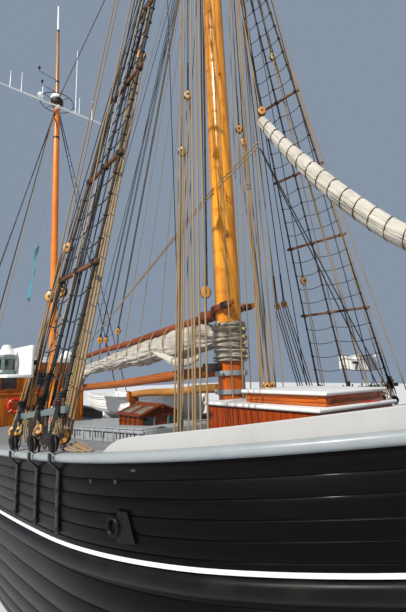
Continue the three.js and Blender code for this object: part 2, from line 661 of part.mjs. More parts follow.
function bobstay() {
  const a = V(stemFace(700) + 20, 0, 700);
  const b = spritAt(14940).add(V(0, 0, -118));
  const lug = box(a.x - 60, a.x + 50, -30, 30, a.z - 50, a.z + 50);
  return cut(join(wireStay(a, b, 16), lug), stemTimber().translate([SEAT, 0, 0]), sprit(SEAT));
}
const stemFace = (z) => mix(8880, 9080, (z - 400) / 800) + 1;

// Forward companion: coaming, wide white slab, box and sliding lid
const FORE = { x0: 3790, x1: 5620, half: 850, slab: 2380 };
function foreCoaming() {
  return onDeck(box(FORE.x0 + 60, FORE.x1 - 60, -FORE.half + 60, FORE.half - 60, 1600, FORE.slab - 45 - SEAT));
}
const foreSlab = () => box(FORE.x0, FORE.x1, -FORE.half, FORE.half, FORE.slab - 45, FORE.slab);
const COMPANION = { x0: 4380, x1: 5540, half: 610, top: 2497 };
const companionBox = () => box(COMPANION.x0, COMPANION.x1, -COMPANION.half, COMPANION.half,
  FORE.slab + SEAT, COMPANION.top);
const companionLid = () => box(COMPANION.x0 - 50, COMPANION.x1 + 50, -COMPANION.half - 60, COMPANION.half + 60,
  COMPANION.top + SEAT, COMPANION.top + 43);

// Low cargo hatch amidships, its cover following the sheer
const HATCH = { x0: -2500, x1: 2300, half: 850, rise: 210 };
const hatchTopAt = (x) => {
  const ends = [HATCH.x0, HATCH.x1].map((e) => deckTop(e, 0) + HATCH.rise);
  return mix(ends[0], ends[1], (x - HATCH.x0) / (HATCH.x1 - HATCH.x0));
};
function cargoHatch() {
  const body = plate([[HATCH.x0, 800], [HATCH.x1, 800], [HATCH.x1, hatchTopAt(HATCH.x1)],
    [HATCH.x0, hatchTopAt(HATCH.x0)]], -HATCH.half, HATCH.half);
  return onDeck(body);
}
const hatchCutter = () => plate([[HATCH.x0, 700], [HATCH.x1, 700], [HATCH.x1, hatchTopAt(HATCH.x1) + SEAT],
  [HATCH.x0, hatchTopAt(HATCH.x0) + SEAT]], -HATCH.half - 500, HATCH.half + 500);

// Skylight on the hatch, with a lid on each side of its ridge
const SKY = { x0: 700, x1: 1500, half: 450, eave: 1990, ridge: 2160, lid: 32 };
function skylightBox() {
  const body = slab([[-SKY.half, 1500], [SKY.half, 1500], [SKY.half, SKY.eave], [0, SKY.ridge],
    [-SKY.half, SKY.eave]], SKY.x0, SKY.x1);
  const ridgeBar = box(SKY.x0 - 60, SKY.x1 + 60, -28, 28, SKY.ridge - 60, SKY.ridge + 34);
  return cut(join(body, ridgeBar), hatchCutter());
}

const skySlope = Math.atan2(SKY.ridge - SKY.eave, SKY.half);
const LID_INNER_Y = 36;
function skylightLid(sign) {
  const g = new THREE.BoxGeometry(SKY.x1 - SKY.x0 + 120, 500, SKY.lid);
  g.translate(0, 250, SKY.lid / 2);
  g.rotateX(-skySlope);
  g.translate((SKY.x0 + SKY.x1) / 2, LID_INNER_Y, SKY.ridge - LID_INNER_Y * Math.tan(skySlope) + 2 * SEAT);
  const lid = solid(g);
  return sign > 0 ? lid : lid.mirror([0, 1, 0]);
}

// Ship's boat on the port side of the deck, open, standing on chocks
const BOAT = { y: 1560, skin: 28 };
const BOAT_STATIONS = [
  { x: 900, half: 40, gunwale: 2320, keel: 1900 },
  { x: 500, half: 330, gunwale: 2270, keel: 1660 },
  { x: -100, half: 560, gunwale: 2215, keel: 1600 },
  { x: -1100, half: 720, gunwale: 2165, keel: 1570 },
  { x: -2300, half: 760, gunwale: 2130, keel: 1560 },
  { x: -3400, half: 680, gunwale: 2130, keel: 1570 },
  { x: -4300, half: 480, gunwale: 2160, keel: 1620 },
];

// The boat's outer form, or that form drawn in by inset and raised by lift, to hollow it.
function boatSkin(inset, lift) {
  const rings = BOAT_STATIONS.map(({ x, half, gunwale, keel }, n) => {
    const h = Math.max(half - inset, 12);
    const bottom = keel + lift;
    const top = inset > 0 ? gunwale + 60 : gunwale;
    const share = [[0, 0], [0.42, 0.08], [0.8, 0.3], [0.95, 0.62], [1, 1]];
    const right = share.map(([w, t]) => V(x, -h * w, mix(bottom, top, t))).reverse();
    const left = share.slice(1).map(([w, t]) => V(x, h * w, mix(bottom, top, t)));
    const ends = { 0: -90, [BOAT_STATIONS.length - 1]: 40 };
    const shift = inset > 0 ? ends[n] ?? 0 : 0;
    return [...right, ...left].map((p) => V(p.x + shift, p.y + BOAT.y, p.z));
  });
  return loft(rings);
}

const boatKeel = (grow = 0) => box(-4250, 700, BOAT.y - 25 - grow, BOAT.y + 25 + grow, 1540 - grow, 1700);
function shipsBoat() {
  const thwarts = [-200, -1500, -2900].map((x) => box(x - 110, x + 110, BOAT.y - 700, BOAT.y + 700, 2010, 2040));
  const shell = join(cut(boatSkin(0, 0), boatSkin(BOAT.skin, 30)), cut(boatKeel(), boatSkin(6, 0)));
  const inside = thwarts.map((t) => t.intersect(boatSkin(3, 4)));
  return join(shell, inside);
}

const chockBlank = (x) => box(x - 45, x + 45, BOAT.y - 560, BOAT.y + 560, 900, 1760);
const boatChock = (x) => onDeck(cut(chockBlank(x), boatSkin(-SEAT, -SEAT), boatKeel(SEAT)));

// Wheelhouse abaft the mizzen: varnished walls with windows all round, a white roof, and a door in the port wall
const HOUSE = { x0: -8250, x1: -5500, half: 1430, wall: 45, top: 3170 };
const SILL = 2330;
const HEADER = 2880;
const FRONT_WINDOWS = [-960, 0, 960]; // middle of each, across
const BACK_WINDOWS = [-700, 700];
const SIDE_WINDOWS = [-7750, -6875, -6000]; // middle of each, along; the port side has its door in place of the aft one
const WINDOW_HALF = 250;
const DOOR = { x0: -8060, x1: -7420, foot: 1500, head: 3080, thick: 38 };
const HINGE = { x: DOOR.x1 - 12, y: HOUSE.half + 16, r: 16 };
const HINGES_Z = [1700, 2850];
function houseWalls() {
  const outer = box(HOUSE.x0, HOUSE.x1, -HOUSE.half, HOUSE.half, 900, HOUSE.top);
  const inner = box(HOUSE.x0 + HOUSE.wall, HOUSE.x1 - HOUSE.wall, -HOUSE.half + HOUSE.wall,
    HOUSE.half - HOUSE.wall, 800, HOUSE.top + 100);
  const across = (x, y) => box(x - 100, x + 100, y - WINDOW_HALF, y + WINDOW_HALF, SILL, HEADER);
  const along = (x, y) => box(x - WINDOW_HALF, x + WINDOW_HALF, y - 100, y + 100, SILL, HEADER);
  const windows = [
    ...FRONT_WINDOWS.map((y) => across(HOUSE.x1, y)),
    ...BACK_WINDOWS.map((y) => across(HOUSE.x0, y)),
    ...SIDE_WINDOWS.map((x) => along(x, -HOUSE.half)),
    ...SIDE_WINDOWS.slice(1).map((x) => along(x, HOUSE.half)),
  ];
  const doorway = box(DOOR.x0 - RUN, DOOR.x1 + RUN, HOUSE.half - 100, HOUSE.half + 100, DOOR.foot - RUN,
    DOOR.head + RUN);
  const brackets = HINGES_Z.map((z) => join(
    box(HINGE.x - 8, DOOR.x1 + 50, HINGE.y - 8, HINGE.y + 16, z - 30, z - SEAT),
    box(DOOR.x1 + 20, DOOR.x1 + 50, HOUSE.half - 10, HINGE.y + 16, z - 30, z - SEAT),
  ));
  return onDeck(join(cut(outer, inner, windows, doorway), brackets));
}

function houseRoof() {
  const over = 110;
  const w = HOUSE.half + over;
  const base = HOUSE.top + SEAT;
  const outline = [[-w, base], [w, base], [w, base + 70], [w * 0.55, base + 150], [0, base + 178],
    [-w * 0.55, base + 150], [-w, base + 70]];
  return slab(outline, HOUSE.x0 - over, HOUSE.x1 + over);
}

function houseDoor() {
  const y0 = HOUSE.half - DOOR.thick;
  const leaf = box(DOOR.x0, DOOR.x1, y0, HOUSE.half, DOOR.foot, DOOR.head);
  const pane = box(DOOR.x0 + 120, DOOR.x1 - 120, y0 - 10, HOUSE.half + 10, SILL, HEADER);
  const pins = HINGES_Z.map((z) => spar(V(HINGE.x, HINGE.y, z), V(HINGE.x, HINGE.y, z + 90), HINGE.r, HINGE.r, 8));
  const ears = HINGES_Z.map((z) => box(HINGE.x - 33, HINGE.x, HOUSE.half - 4, HINGE.y + 6, z, z + 90));
  return join(cut(leaf, pane), pins, ears);
}

// Helm: pedestal on the house floor and a spoked wheel
const HELM = { x: -5960, z: 2330, r: 420 };
function helmPedestal() {
  return onDeck(box(HELM.x + 60, HELM.x + 230, -110, 110, 1000, HELM.z + 130));
}
function helmWheel() {
  const rim = new THREE.TorusGeometry(HELM.r - 90, 22, 5, 16);
  rim.rotateY(Math.PI / 2);
  rim.translate(HELM.x, 0, HELM.z);
  const spokes = [0, 1, 2, 3].map((n) => {
    const a = (n * Math.PI) / 4;
    const d = V(0, Math.cos(a), Math.sin(a)).multiplyScalar(HELM.r);
    const c = V(HELM.x, 0, HELM.z);
    return spar(c.clone().sub(d), c.clone().add(d), 14, 14, 6);
  });
  const hub = spar(V(HELM.x - 40, 0, HELM.z), V(HELM.x + 59.7, 0, HELM.z), 55, 55, 12);
  return join(solid(rim), spokes, hub);
}

// Windlass: two bitts with a barrel between them
const WINCH = { x: 7150, z: 2550, cheekIn: 500, cheekOut: 600, axle: 46, bore: 47.2 };
function windlassBitts() {
  const cheek = (s, x0, x1, z0, z1) => box(WINCH.x + x0, WINCH.x + x1, Math.min(s * WINCH.cheekIn, s * WINCH.cheekOut),
    Math.max(s * WINCH.cheekIn, s * WINCH.cheekOut), z0, z1);
  const cheeks = [-1, 1].map((s) => cheek(s, -110, 110, 1500, 2900));
  const brackets = [-1, 1].map((s) => cheek(s, 90, 130, 2560, 2760));
  const beam = box(WINCH.x + 112, WINCH.x + 200, -760, 760, 2560, 2760);
  const bores = spar(V(WINCH.x, -700, WINCH.z), V(WINCH.x, 700, WINCH.z), WINCH.bore, WINCH.bore, 20);
  return onDeck(cut(join(cheeks, beam, brackets), bores));
}

function windlassBarrel() {
  const part = (y0, y1, r0, r1) => spar(V(WINCH.x, y0, WINCH.z), V(WINCH.x, y1, WINCH.z), r0, r1, 16);
  const axle = part(-900, 900, WINCH.axle, WINCH.axle);
  const drum = part(10 - WINCH.cheekIn, WINCH.cheekIn - 10, 95, 95);
  const heads = [-1, 1].map((s) => part(s * (WINCH.cheekOut + 12), s * 880, 90, 110));
  return join(axle, drum, heads);
}

// Furled staysail hanging in a bight from the fore side of the mast to the stem head
const STAYSAIL = [
  { x: 4330, z: 6600, r: 75 },
  { x: 4900, z: 5760, r: 105 },
  { x: 5480, z: 5010, r: 120 },
  { x: 6270, z: 4180, r: 130 },
  { x: 7300, z: 3560, r: 120 },
  { x: 8350, z: 3395, r: 90 },
];
const halyard = () => cut(wireStay(V(4345, 0, 6570), V(mainAt(13700).x + 140, 0, 13700), 12), mainMast(SEAT));
function furledStaysail() {
  const rings = STAYSAIL.map(({ x, z, r }, n) => {
    const before = STAYSAIL[Math.max(n - 1, 0)];
    const after = STAYSAIL[Math.min(n + 1, STAYSAIL.length - 1)];
    const along = V(after.x - before.x, 0, after.z - before.z).normalize();
    const up = V(-along.z, 0, along.x);
    const ring = [];
    for (let k = 0; k < 10; k++) {
      const a = (k / 10) * 2 * Math.PI;
      ring.push(V(x, 0, z).addScaledVector(up, r * Math.sin(a)).add(V(0, r * Math.cos(a), 0)));
    }
    return ring;
  });
  return join(cut(loft(rings), spritSpar(SEAT)), halyard());
}

// Stays on the centreline
const forestay = () => cut(wireStay(V(mainAt(14150).x + 140, 0, 14150), V(9470, 0, 3250)), mainMast(SEAT),
  stemTimber().translate([0, 0, SEAT]), spritSpar(SEAT));
const jibStay = () => cut(wireStay(topmastAt(18200), spritAt(15150), 14), topmast(SEAT), spritSpar(SEAT));
const springStay = () => cut(wireStay(mainAt(14950), mizzenAt(12450), 12), mainMast(SEAT), mizzenDrum(SEAT),
  mizzenLower(SEAT));

// Flag halyard from the mizzen down to the wheelhouse roof, with the pennant laced to it
const FLAG_TOP = V(mizzenAt(11700).x - 80, 0, 11700);
const FLAG_FOOT = V(-7900, 0, HOUSE.top + 150);
const flagAt = (z) => FLAG_TOP.clone().lerp(FLAG_FOOT, (FLAG_TOP.z - z) / (FLAG_TOP.z - FLAG_FOOT.z));
function pennant() {
  const line = cut(wireStay(FLAG_TOP, FLAG_FOOT, 8), mizzenLower(SEAT), houseRoof().translate([0, 0, SEAT]));
  const [a, b] = [flagAt(7500), flagAt(5700)];
  return join(line, plate([[a.x, a.z], [b.x, b.z], [b.x - 420, b.z - 120], [a.x - 640, a.z - 330]], -7, 7));
}

// Assemble
piece('hull', hullBody(), BLACK);
piece('deck', deckSlab(), DECK_GREY);
piece('keel', keelTimber(), BLACK);
piece('stem', stemPiece(), BLACK);
piece('sternpost', sternPost(), BLACK);
piece('rudder', rudder(), BLACK);
piece('propeller', propeller(), BRONZE);
for (const [name, sign] of [['starboard', -1], ['port', 1]]) {
  piece(`bulwark_${name}`, bulwark(sign), BLACK);
  piece(`cap_rail_${name}`, capRail(sign), GREY_BLUE);
  piece(`wash_strake_${name}`, washStrake(sign), WHITE);
  piece(`rubbing_strake_${name}`, rubbingStrake(sign), BLACK);
  piece(`main_shrouds_${name}`, shroudSet(sign, MAIN_SHROUDS[name], MAIN_HEAD, 17, MAIN_BATTENS), TARRED);
  piece(`mizzen_shrouds_${name}`, shroudSet(sign, MIZZEN_SHROUDS, MIZZEN_HEAD, 13, []), TARRED);
  piece(`sidelight_${name}`, sidelight(sign, MAIN_SHROUDS[name]), WHITE);
}
piece('main_mast', mainMastPiece(), VARNISH);
piece('main_topmast', topmast(), VARNISH);
piece('main_crosstrees', crosstrees(), OILED);
piece('main_cap', mastCap(), IRON);
piece('mizzen_mast', mizzenMast(), VARNISH);
piece('mizzen_yard', mizzenYard(), WHITE);
piece('main_boom', mainBoom(), VARNISH);
piece('main_gaff', mainGaff(), OILED);
piece('furled_mainsail', furledMainsail(), CANVAS);
piece('luff_hoops', luffHoops(), CANVAS);
piece('stowed_spar', stowedSpar(), VARNISH);
piece('spar_crutch', sparCrutch(), VARNISH);
piece('fore_coaming', foreCoaming(), RED_BROWN);
piece('fore_slab', foreSlab(), WHITE);
piece('companion_box', companionBox(), RED_BROWN);
piece('companion_lid', companionLid(), WHITE);
piece('cargo_hatch', cargoHatch(), GREY_BLUE);
piece('skylight_box', skylightBox(), RED_BROWN);
piece('skylight_lid_starboard', skylightLid(-1), RED_BROWN);
piece('skylight_lid_port', skylightLid(1), RED_BROWN);
piece('ships_boat', shipsBoat(), WHITE);
piece('boat_chock_fore', boatChock(-500), WHITE);
piece('boat_chock_aft', boatChock(-3000), WHITE);
piece('wheelhouse_walls', houseWalls(), VARNISH);
piece('wheelhouse_roof', houseRoof(), WHITE);
piece('wheelhouse_door', houseDoor(), VARNISH);
piece('helm_pedestal', helmPedestal(), VARNISH);
piece('helm_wheel', helmWheel(), VARNISH);
piece('windlass_bitts', windlassBitts(), VARNISH);
piece('windlass_barrel', windlassBarrel(), IRON);
piece('furled_staysail', furledStaysail(), CANVAS);
piece('forestay', forestay(), TARRED);
piece('jib_stay', jibStay(), TARRED);
piece('spring_stay', springStay(), TARRED);
piece('bobstay', bobstay(), IRON);
piece('pennant', pennant(), TEAL);
piece('bowsprit', bowsprit(), VARNISH);
piece('bulwark_transom', transomBulwark(), BLACK);

export default ship;
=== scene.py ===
# %% [markdown]
# # A two-masted sailing ship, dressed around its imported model
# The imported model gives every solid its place. This file gives the ship its looks: planked sides, spars of knotty
# varnished pine, furled canvas, deck furniture and the web of rigging. Everything is in metres, with +X to the bow,
# +Y to port and +Z up, and z = 0 is the waterline.

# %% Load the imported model
import json
from collections import defaultdict
from functools import partialmethod
from math import atan2, cos, degrees, exp, pi, radians, sin, tan, tau

import bmesh
import bpy
from mathutils import Matrix, Vector, noise


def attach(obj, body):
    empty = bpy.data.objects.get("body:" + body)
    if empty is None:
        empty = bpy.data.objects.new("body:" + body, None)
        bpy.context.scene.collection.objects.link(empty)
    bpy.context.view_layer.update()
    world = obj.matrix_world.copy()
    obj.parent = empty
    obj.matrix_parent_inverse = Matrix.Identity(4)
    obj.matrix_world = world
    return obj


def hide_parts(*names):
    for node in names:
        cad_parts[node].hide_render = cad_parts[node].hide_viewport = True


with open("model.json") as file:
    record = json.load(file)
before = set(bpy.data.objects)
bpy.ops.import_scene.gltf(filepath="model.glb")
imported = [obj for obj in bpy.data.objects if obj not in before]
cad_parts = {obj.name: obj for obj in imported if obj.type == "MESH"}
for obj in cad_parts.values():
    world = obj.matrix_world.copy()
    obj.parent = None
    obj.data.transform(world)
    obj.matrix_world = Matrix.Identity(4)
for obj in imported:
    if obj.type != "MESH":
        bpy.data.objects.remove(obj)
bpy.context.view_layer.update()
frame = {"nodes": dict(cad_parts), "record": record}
SIDES = ((-1, "starboard"), (1, "port"))
MATERIAL_OF = {row["node"]: row["material_slot"] for row in frame["record"]["subparts"]}


def vec(x, y, z):
    return Vector((x, y, z))


# %% [markdown]
# ## The camera
# The photographer stood a little off the starboard bow at rail height, with a wide lens turned up by nine degrees.
# The place and the turns below were solved from the horizon, the rails, the masts and the shrouds together. A camera
# matrix holds the camera's own right, up and backward directions as its columns.

# %% Set the camera
EYE = vec(8.046, -4.367, 2.773)
HEADING, PITCH, ROLL = (radians(a) for a in (39.83, 9.385, -1.136))
LENS = 23.445
UP = vec(0, 0, 1)

flat_look = vec(-cos(HEADING), sin(HEADING), 0)
flat_right = vec(sin(HEADING), cos(HEADING), 0)
look = flat_look * cos(PITCH) + UP * sin(PITCH)
lifted = UP * cos(PITCH) - flat_look * sin(PITCH)
right = flat_right * cos(ROLL) + lifted * sin(ROLL)
up = lifted * cos(ROLL) - flat_right * sin(ROLL)
camera = bpy.data.objects.new("camera", bpy.data.cameras.new("camera"))
bpy.context.scene.collection.objects.link(camera)
camera.data.lens = LENS
camera.data.clip_start, camera.data.clip_end = 0.05, 300
camera.matrix_world = Matrix.Translation(EYE) @ Matrix((right, up, -look)).transposed().to_4x4()
bpy.context.scene.camera = camera
print("camera at", tuple(round(v, 2) for v in EYE))

# %% [markdown]
# ## Shader sums in plain Python
# A wire is the output of a shader node. Adding or multiplying two wires adds the Math node that does it, so a
# pattern can be written like any other sum. Numbers alone are worked out in Python and cost no node.

# %% The wire and the finish
class Wire:
    def __init__(self, finish, socket):
        self.finish, self.socket = finish, socket

    def maths(self, operation, *others):
        return self.finish.node("ShaderNodeMath", {"operation": operation}, dict(enumerate((self, *others))))

    def __rsub__(self, other):
        return (self * -1.0) + other

    __add__ = __radd__ = partialmethod(maths, "ADD")
    __mul__ = __rmul__ = partialmethod(maths, "MULTIPLY")
    __sub__, __truediv__ = partialmethod(maths, "SUBTRACT"), partialmethod(maths, "DIVIDE")
    sine, fraction = partialmethod(maths, "SINE"), partialmethod(maths, "FRACT")
    floor, size = partialmethod(maths, "FLOOR"), partialmethod(maths, "ABSOLUTE")

    def clamp(self):
        return self.finish.node("ShaderNodeClamp", values={"Value": self})

    def ramp(self, low, high):
        values = {"Value": self, "From Min": low, "From Max": high}
        return self.finish.node("ShaderNodeMapRange", {"interpolation_type": "SMOOTHSTEP"}, values)

    def blend(self, none, full):
        return self.finish.node("ShaderNodeMix", {"data_type": "RGBA"}, {0: self, 6: none, 7: full}, out=2)


class Finish:
    def __init__(self, name):
        self.material = bpy.data.materials.new(name)
        self.material.use_nodes = True
        self.tree = self.material.node_tree
        self.tree.nodes.clear()
        self.shader = self.tree.nodes.new("ShaderNodeBsdfPrincipled")
        out = self.tree.nodes.new("ShaderNodeOutputMaterial")
        self.tree.links.new(self.shader.outputs[0], out.inputs[0])

    def put(self, node, key, value):
        if isinstance(value, Wire):
            self.tree.links.new(value.socket, node.inputs[key])
        else:
            if isinstance(value, tuple) and len(value) == 3 and node.inputs[key].type == "RGBA":
                value = (*value, 1)
            node.inputs[key].default_value = value

    def node(self, kind, settings=None, values=None, out=0):
        made = self.tree.nodes.new(kind)
        for key, value in (settings or {}).items():
            setattr(made, key, value)
        for key, value in (values or {}).items():
            self.put(made, key, value)
        return Wire(self, made.outputs[out])

    def place(self, kind="Object"):
        return self.node("ShaderNodeTexCoord", out={"Object": 3, "UV": 2}[kind])

    def parts(self, vector):
        made = self.tree.nodes.new("ShaderNodeSeparateXYZ")
        self.put(made, 0, vector)
        return [Wire(self, made.outputs[k]) for k in range(3)]

    def vector(self, x, y, z=0.0):
        return self.node("ShaderNodeCombineXYZ", values={0: x, 1: y, 2: z})

    def stretched(self, vector, scale):
        return self.node("ShaderNodeVectorMath", {"operation": "MULTIPLY"}, {0: vector, 1: scale})

    def noise(self, vector, scale, detail=3.0, rough=0.55, warp=0.0):
        values = {"Vector": vector, "Scale": scale, "Detail": detail, "Roughness": rough, "Distortion": warp}
        return self.node("ShaderNodeTexNoise", values=values)

    def spots(self, vector, scale):
        return self.node("ShaderNodeTexVoronoi", values={"Vector": vector, "Scale": scale})

    def finish(self, color, rough, height=None, depth=0.001, strength=1.0, **sockets):
        self.put(self.shader, "Base Color", color)
        self.put(self.shader, "Roughness", rough)
        for key, value in sockets.items():
            self.put(self.shader, key.replace("_", " "), value)
        if height is not None:
            bump = self.node("ShaderNodeBump", values={"Height": height, "Distance": depth, "Strength": strength})
            self.put(self.shader, "Normal", bump)
        return self.material


print("shader helpers ready")

# %% [markdown]
# ## Black topsides
# The sides are painted black over planks. Each plank took the brush a little differently, the upper strakes are a
# lighter brown, partly paint bleached by the sun and partly painted sheen, and fenders have left fine scratches
# along the grain. The planking has its own UV map: u runs along the hull in metres and v counts planks down from
# the rail, so its whole part names a plank.

# %% Mix the hull's black
def hull_black():
    f = Finish("hull_black")
    u, v, _ = f.parts(f.place("UV"))
    plank = v.floor()
    along = f.vector(u * 0.9, v * 3.0 + plank * 7.3)
    shade = f.noise(f.vector(u * 0.07, plank * 3.71), 1.0, 2.0)
    clouds = f.noise(f.vector(u * 0.6, v * 0.45), 1.0, 5.0, 0.6)
    grain = f.noise(f.vector(u * 2.2, v * 26.0), 1.0, 6.0, 0.65)
    scratch = f.noise(f.vector(u * 1.4, v * 60.0), 1.0, 3.0, 0.5).ramp(0.66, 0.74) * f.noise(along, 0.8).ramp(0.5, 0.7)
    seam = (v.fraction() - 0.5).size().ramp(0.462, 0.492)
    # Lighter brown towards the rail: partly paint bleached by the sun, partly painted sheen. A tone per plank is added.
    fading_and_sheen = (1.0 - (v / 4.2).clamp()) * clouds.ramp(0.25, 0.75) * 0.9 + shade.ramp(0.45, 0.8) * 0.22
    color = fading_and_sheen.blend((0.0016, 0.0015, 0.002), (0.0062, 0.0052, 0.0048))
    color = (grain.ramp(0.5, 0.8) * 0.3).blend(color, (0.006, 0.0055, 0.0055))
    color = (scratch * 0.25).blend(color, (0.035, 0.033, 0.032))
    color = (seam * 0.85).blend(color, (0.0012, 0.0012, 0.0015))
    marks = f.spots(f.vector(u * 1.6, v * 0.55), 1.0)
    color = (1.0 - marks.ramp(0.02, 0.055)).blend(color, (0.07, 0.066, 0.06))
    rough = 0.2 + clouds * 0.16 + scratch * 0.22 + fading_and_sheen * 0.22 + grain * 0.08
    height = grain * 0.22 + shade * 0.5 + clouds * 0.55 - seam * 1.1
    return f.finish(color, rough, height, 0.0022, 0.8, Specular_IOR_Level=0.06, Coat_Weight=0.03, Coat_Roughness=0.12)


def plain_black():
    f = Finish("timber_black")
    at = f.place()
    soft = f.noise(at, 3.0, 5.0)
    fine = f.noise(f.stretched(at, (4.0, 30.0, 30.0)), 1.0, 4.0)
    color = (soft.ramp(0.35, 0.75) * 0.7).blend((0.003, 0.003, 0.0035), (0.012, 0.011, 0.01))
    color = (fine.ramp(0.62, 0.78) * 0.3).blend(color, (0.05, 0.046, 0.042))
    return f.finish(color, 0.32 + soft * 0.2, fine * 0.6 + soft, 0.0015, 0.6, Specular_IOR_Level=0.15)


HULL_BLACK = hull_black()
TIMBER_BLACK = plain_black()
print("black paints:", HULL_BLACK.name, TIMBER_BLACK.name)

# %% [markdown]
# ## Painted wood
# The rail, the wash strakes, the slabs and the boat are painted pine. A brush leaves faint runs along the wood, water
# leaves grey streaks, edges chip to bare wood here and there, and the paint is never quite the same twice.

# %% Mix the paints
def paint(name, light, dark, rough=0.38, chips=0.0, streak=(3.0, 3.0, 0.7), rust=0.0, seams=None):
    f = Finish(name)
    at = f.place()
    clouds = f.noise(at, 1.7, 5.0, 0.6)
    runs = f.noise(f.stretched(at, streak), 2.4, 5.0, 0.65)
    brush = f.noise(f.stretched(at, (6.0, 60.0, 60.0)), 1.0, 3.0)
    dirt = clouds.ramp(0.46, 0.78) * 0.45 + runs.ramp(0.5, 0.8) * 0.4
    color = dirt.blend(light, dark)
    height = brush * 0.5 + clouds
    if seams:
        axis, pitch = seams
        step = f.parts(at)[axis] / pitch
        line = (step.fraction() - 0.5).size().ramp(0.44, 0.485)
        board = f.noise(step.floor() * 5.17, 1.0, 0.0)
        color = (board.ramp(0.3, 0.7) * 0.3).blend(color, dark)
        color = (line * 0.8).blend(color, (0.06, 0.065, 0.07))
        height = height - line * 3.0
    if chips:
        chip = f.noise(at, 9.0, 6.0, 0.7, 0.6).ramp(0.72 - 0.06 * chips, 0.75 - 0.06 * chips)
        color = (chip * 0.8).blend(color, (0.33, 0.25, 0.17))
        height = height - chip * 1.5
    if rust:
        stain = f.noise(f.stretched(at, (2.5, 2.5, 0.35)), 3.0, 4.0).ramp(0.62, 0.8)
        color = (stain * rust).blend(color, (0.32, 0.15, 0.06))
    return f.finish(color, rough + dirt * 0.25, height, 0.0012, 0.7, Specular_IOR_Level=0.35)


RAIL_BLUE = paint("rail_pale_blue", (0.285, 0.315, 0.33), (0.17, 0.195, 0.21), 0.3, 0.35, (0.8, 3.0, 3.0), 0.12)
WASH_WHITE = paint("wash_strake_white", (0.42, 0.42, 0.415), (0.33, 0.33, 0.32), 0.4, 0.1, (2.5, 2.5, 0.5), 0.05)
SLAB_WHITE = paint("slab_white", (0.74, 0.74, 0.73), (0.54, 0.54, 0.53), 0.35, 0.15)
BOAT_WHITE = paint("boat_white", (0.88, 0.89, 0.87), (0.66, 0.67, 0.66), 0.33, 0.1, (0.6, 3.0, 3.0))
STRIPE_WHITE = paint("stripe_white", (0.86, 0.86, 0.84), (0.68, 0.68, 0.66), 0.3, 0.12, (0.8, 4.0, 4.0))
DECK_BLUE = paint("deck_blue", (0.21, 0.22, 0.235), (0.13, 0.14, 0.15), 0.5, 0.25, (0.7, 5.0, 5.0), 0.0, (1, 0.115))
HATCH_BLUE = paint("hatch_blue", (0.34, 0.36, 0.375), (0.22, 0.235, 0.25), 0.45, 0.25, (5.0, 0.7, 5.0), 0.0, (0, 0.25))
INNER_BLUE = paint("bulwark_blue", (0.41, 0.47, 0.52), (0.27, 0.32, 0.36), 0.45, 0.3, (3.0, 3.0, 0.6), 0.2)
GREEN_PAINT = paint("window_green", (0.1, 0.16, 0.14), (0.05, 0.09, 0.08), 0.4, 0.1)
LAMP_GREY = paint("lamp_grey_green", (0.115, 0.15, 0.14), (0.05, 0.07, 0.065), 0.35, 0.3)
CAP_RED = paint("red_paint", (0.62, 0.035, 0.02), (0.32, 0.03, 0.02), 0.4, 0.2)
print("painted wood:", len(bpy.data.materials), "materials so far")

# %% [markdown]
# ## Varnished wood
# The masts and spars are pine logs under many coats of varnish: long grain, dark drying checks, round knots with a
# dark ring, and a wet-looking gloss. Grain follows the log, so the wood reads the piece's UV map, with u in metres
# along the log and v in metres around it. Flat joinery reads its place on the ship instead.

# %% Mix the varnishes
def log_wood(name, light, mid, dark, knots=1.0, rough=0.2, coat=0.6, redder=None):
    f = Finish(name)
    u, v, _ = f.parts(f.place("UV"))
    bend = f.noise(f.vector(u * 0.8, v * 4.0), 1.0, 2.0)
    grain = f.noise(f.vector(u * 1.3, v * 44.0 + bend * 2.2), 1.0, 6.0, 0.6, 0.3)
    fibre = f.noise(f.vector(u * 7.0, v * 220.0), 1.0, 2.0)
    patch = f.noise(f.vector(u * 0.5, v * 2.2), 1.0, 3.0)
    color = grain.ramp(0.32, 0.7).blend(light, mid)
    color = (patch.ramp(0.4, 0.72) * 0.55).blend(color, dark)
    color = (fibre.ramp(0.55, 0.8) * 0.25).blend(color, dark)
    height = grain * 0.5 + fibre * 0.25
    knot = f.spots(f.vector(u * 1.9, v * 4.4), 1.0)
    eye = (1.0 - knot.ramp(0.05, 0.13)) * knots
    ring = (1.0 - (knot - 0.17).size().ramp(0.0, 0.06)) * 0.45 * knots
    color = ring.blend(color, dark)
    color = (eye * 0.9).blend(color, (0.1, 0.028, 0.007))
    split = f.noise(f.vector(u * 0.35, v * 15.0), 1.0, 3.0, 0.6).ramp(0.675, 0.7)
    color = (split * 0.75).blend(color, (0.05, 0.018, 0.006))
    if redder:
        low, high, tint = redder
        z = f.parts(f.place())[2]
        color = ((1.0 - z.ramp(low, high)) * 0.85).blend(color, tint)
        color = (grain.ramp(0.4, 0.7) * 0.35).blend(color, dark)
    wear = patch.ramp(0.3, 0.7)
    return f.finish(color, rough + wear * 0.16 + split * 0.3, height - split * 2.0, 0.0016, 0.6, Specular_IOR_Level=0.3,
                    Coat_Weight=coat * 0.4, Coat_Roughness=0.09)


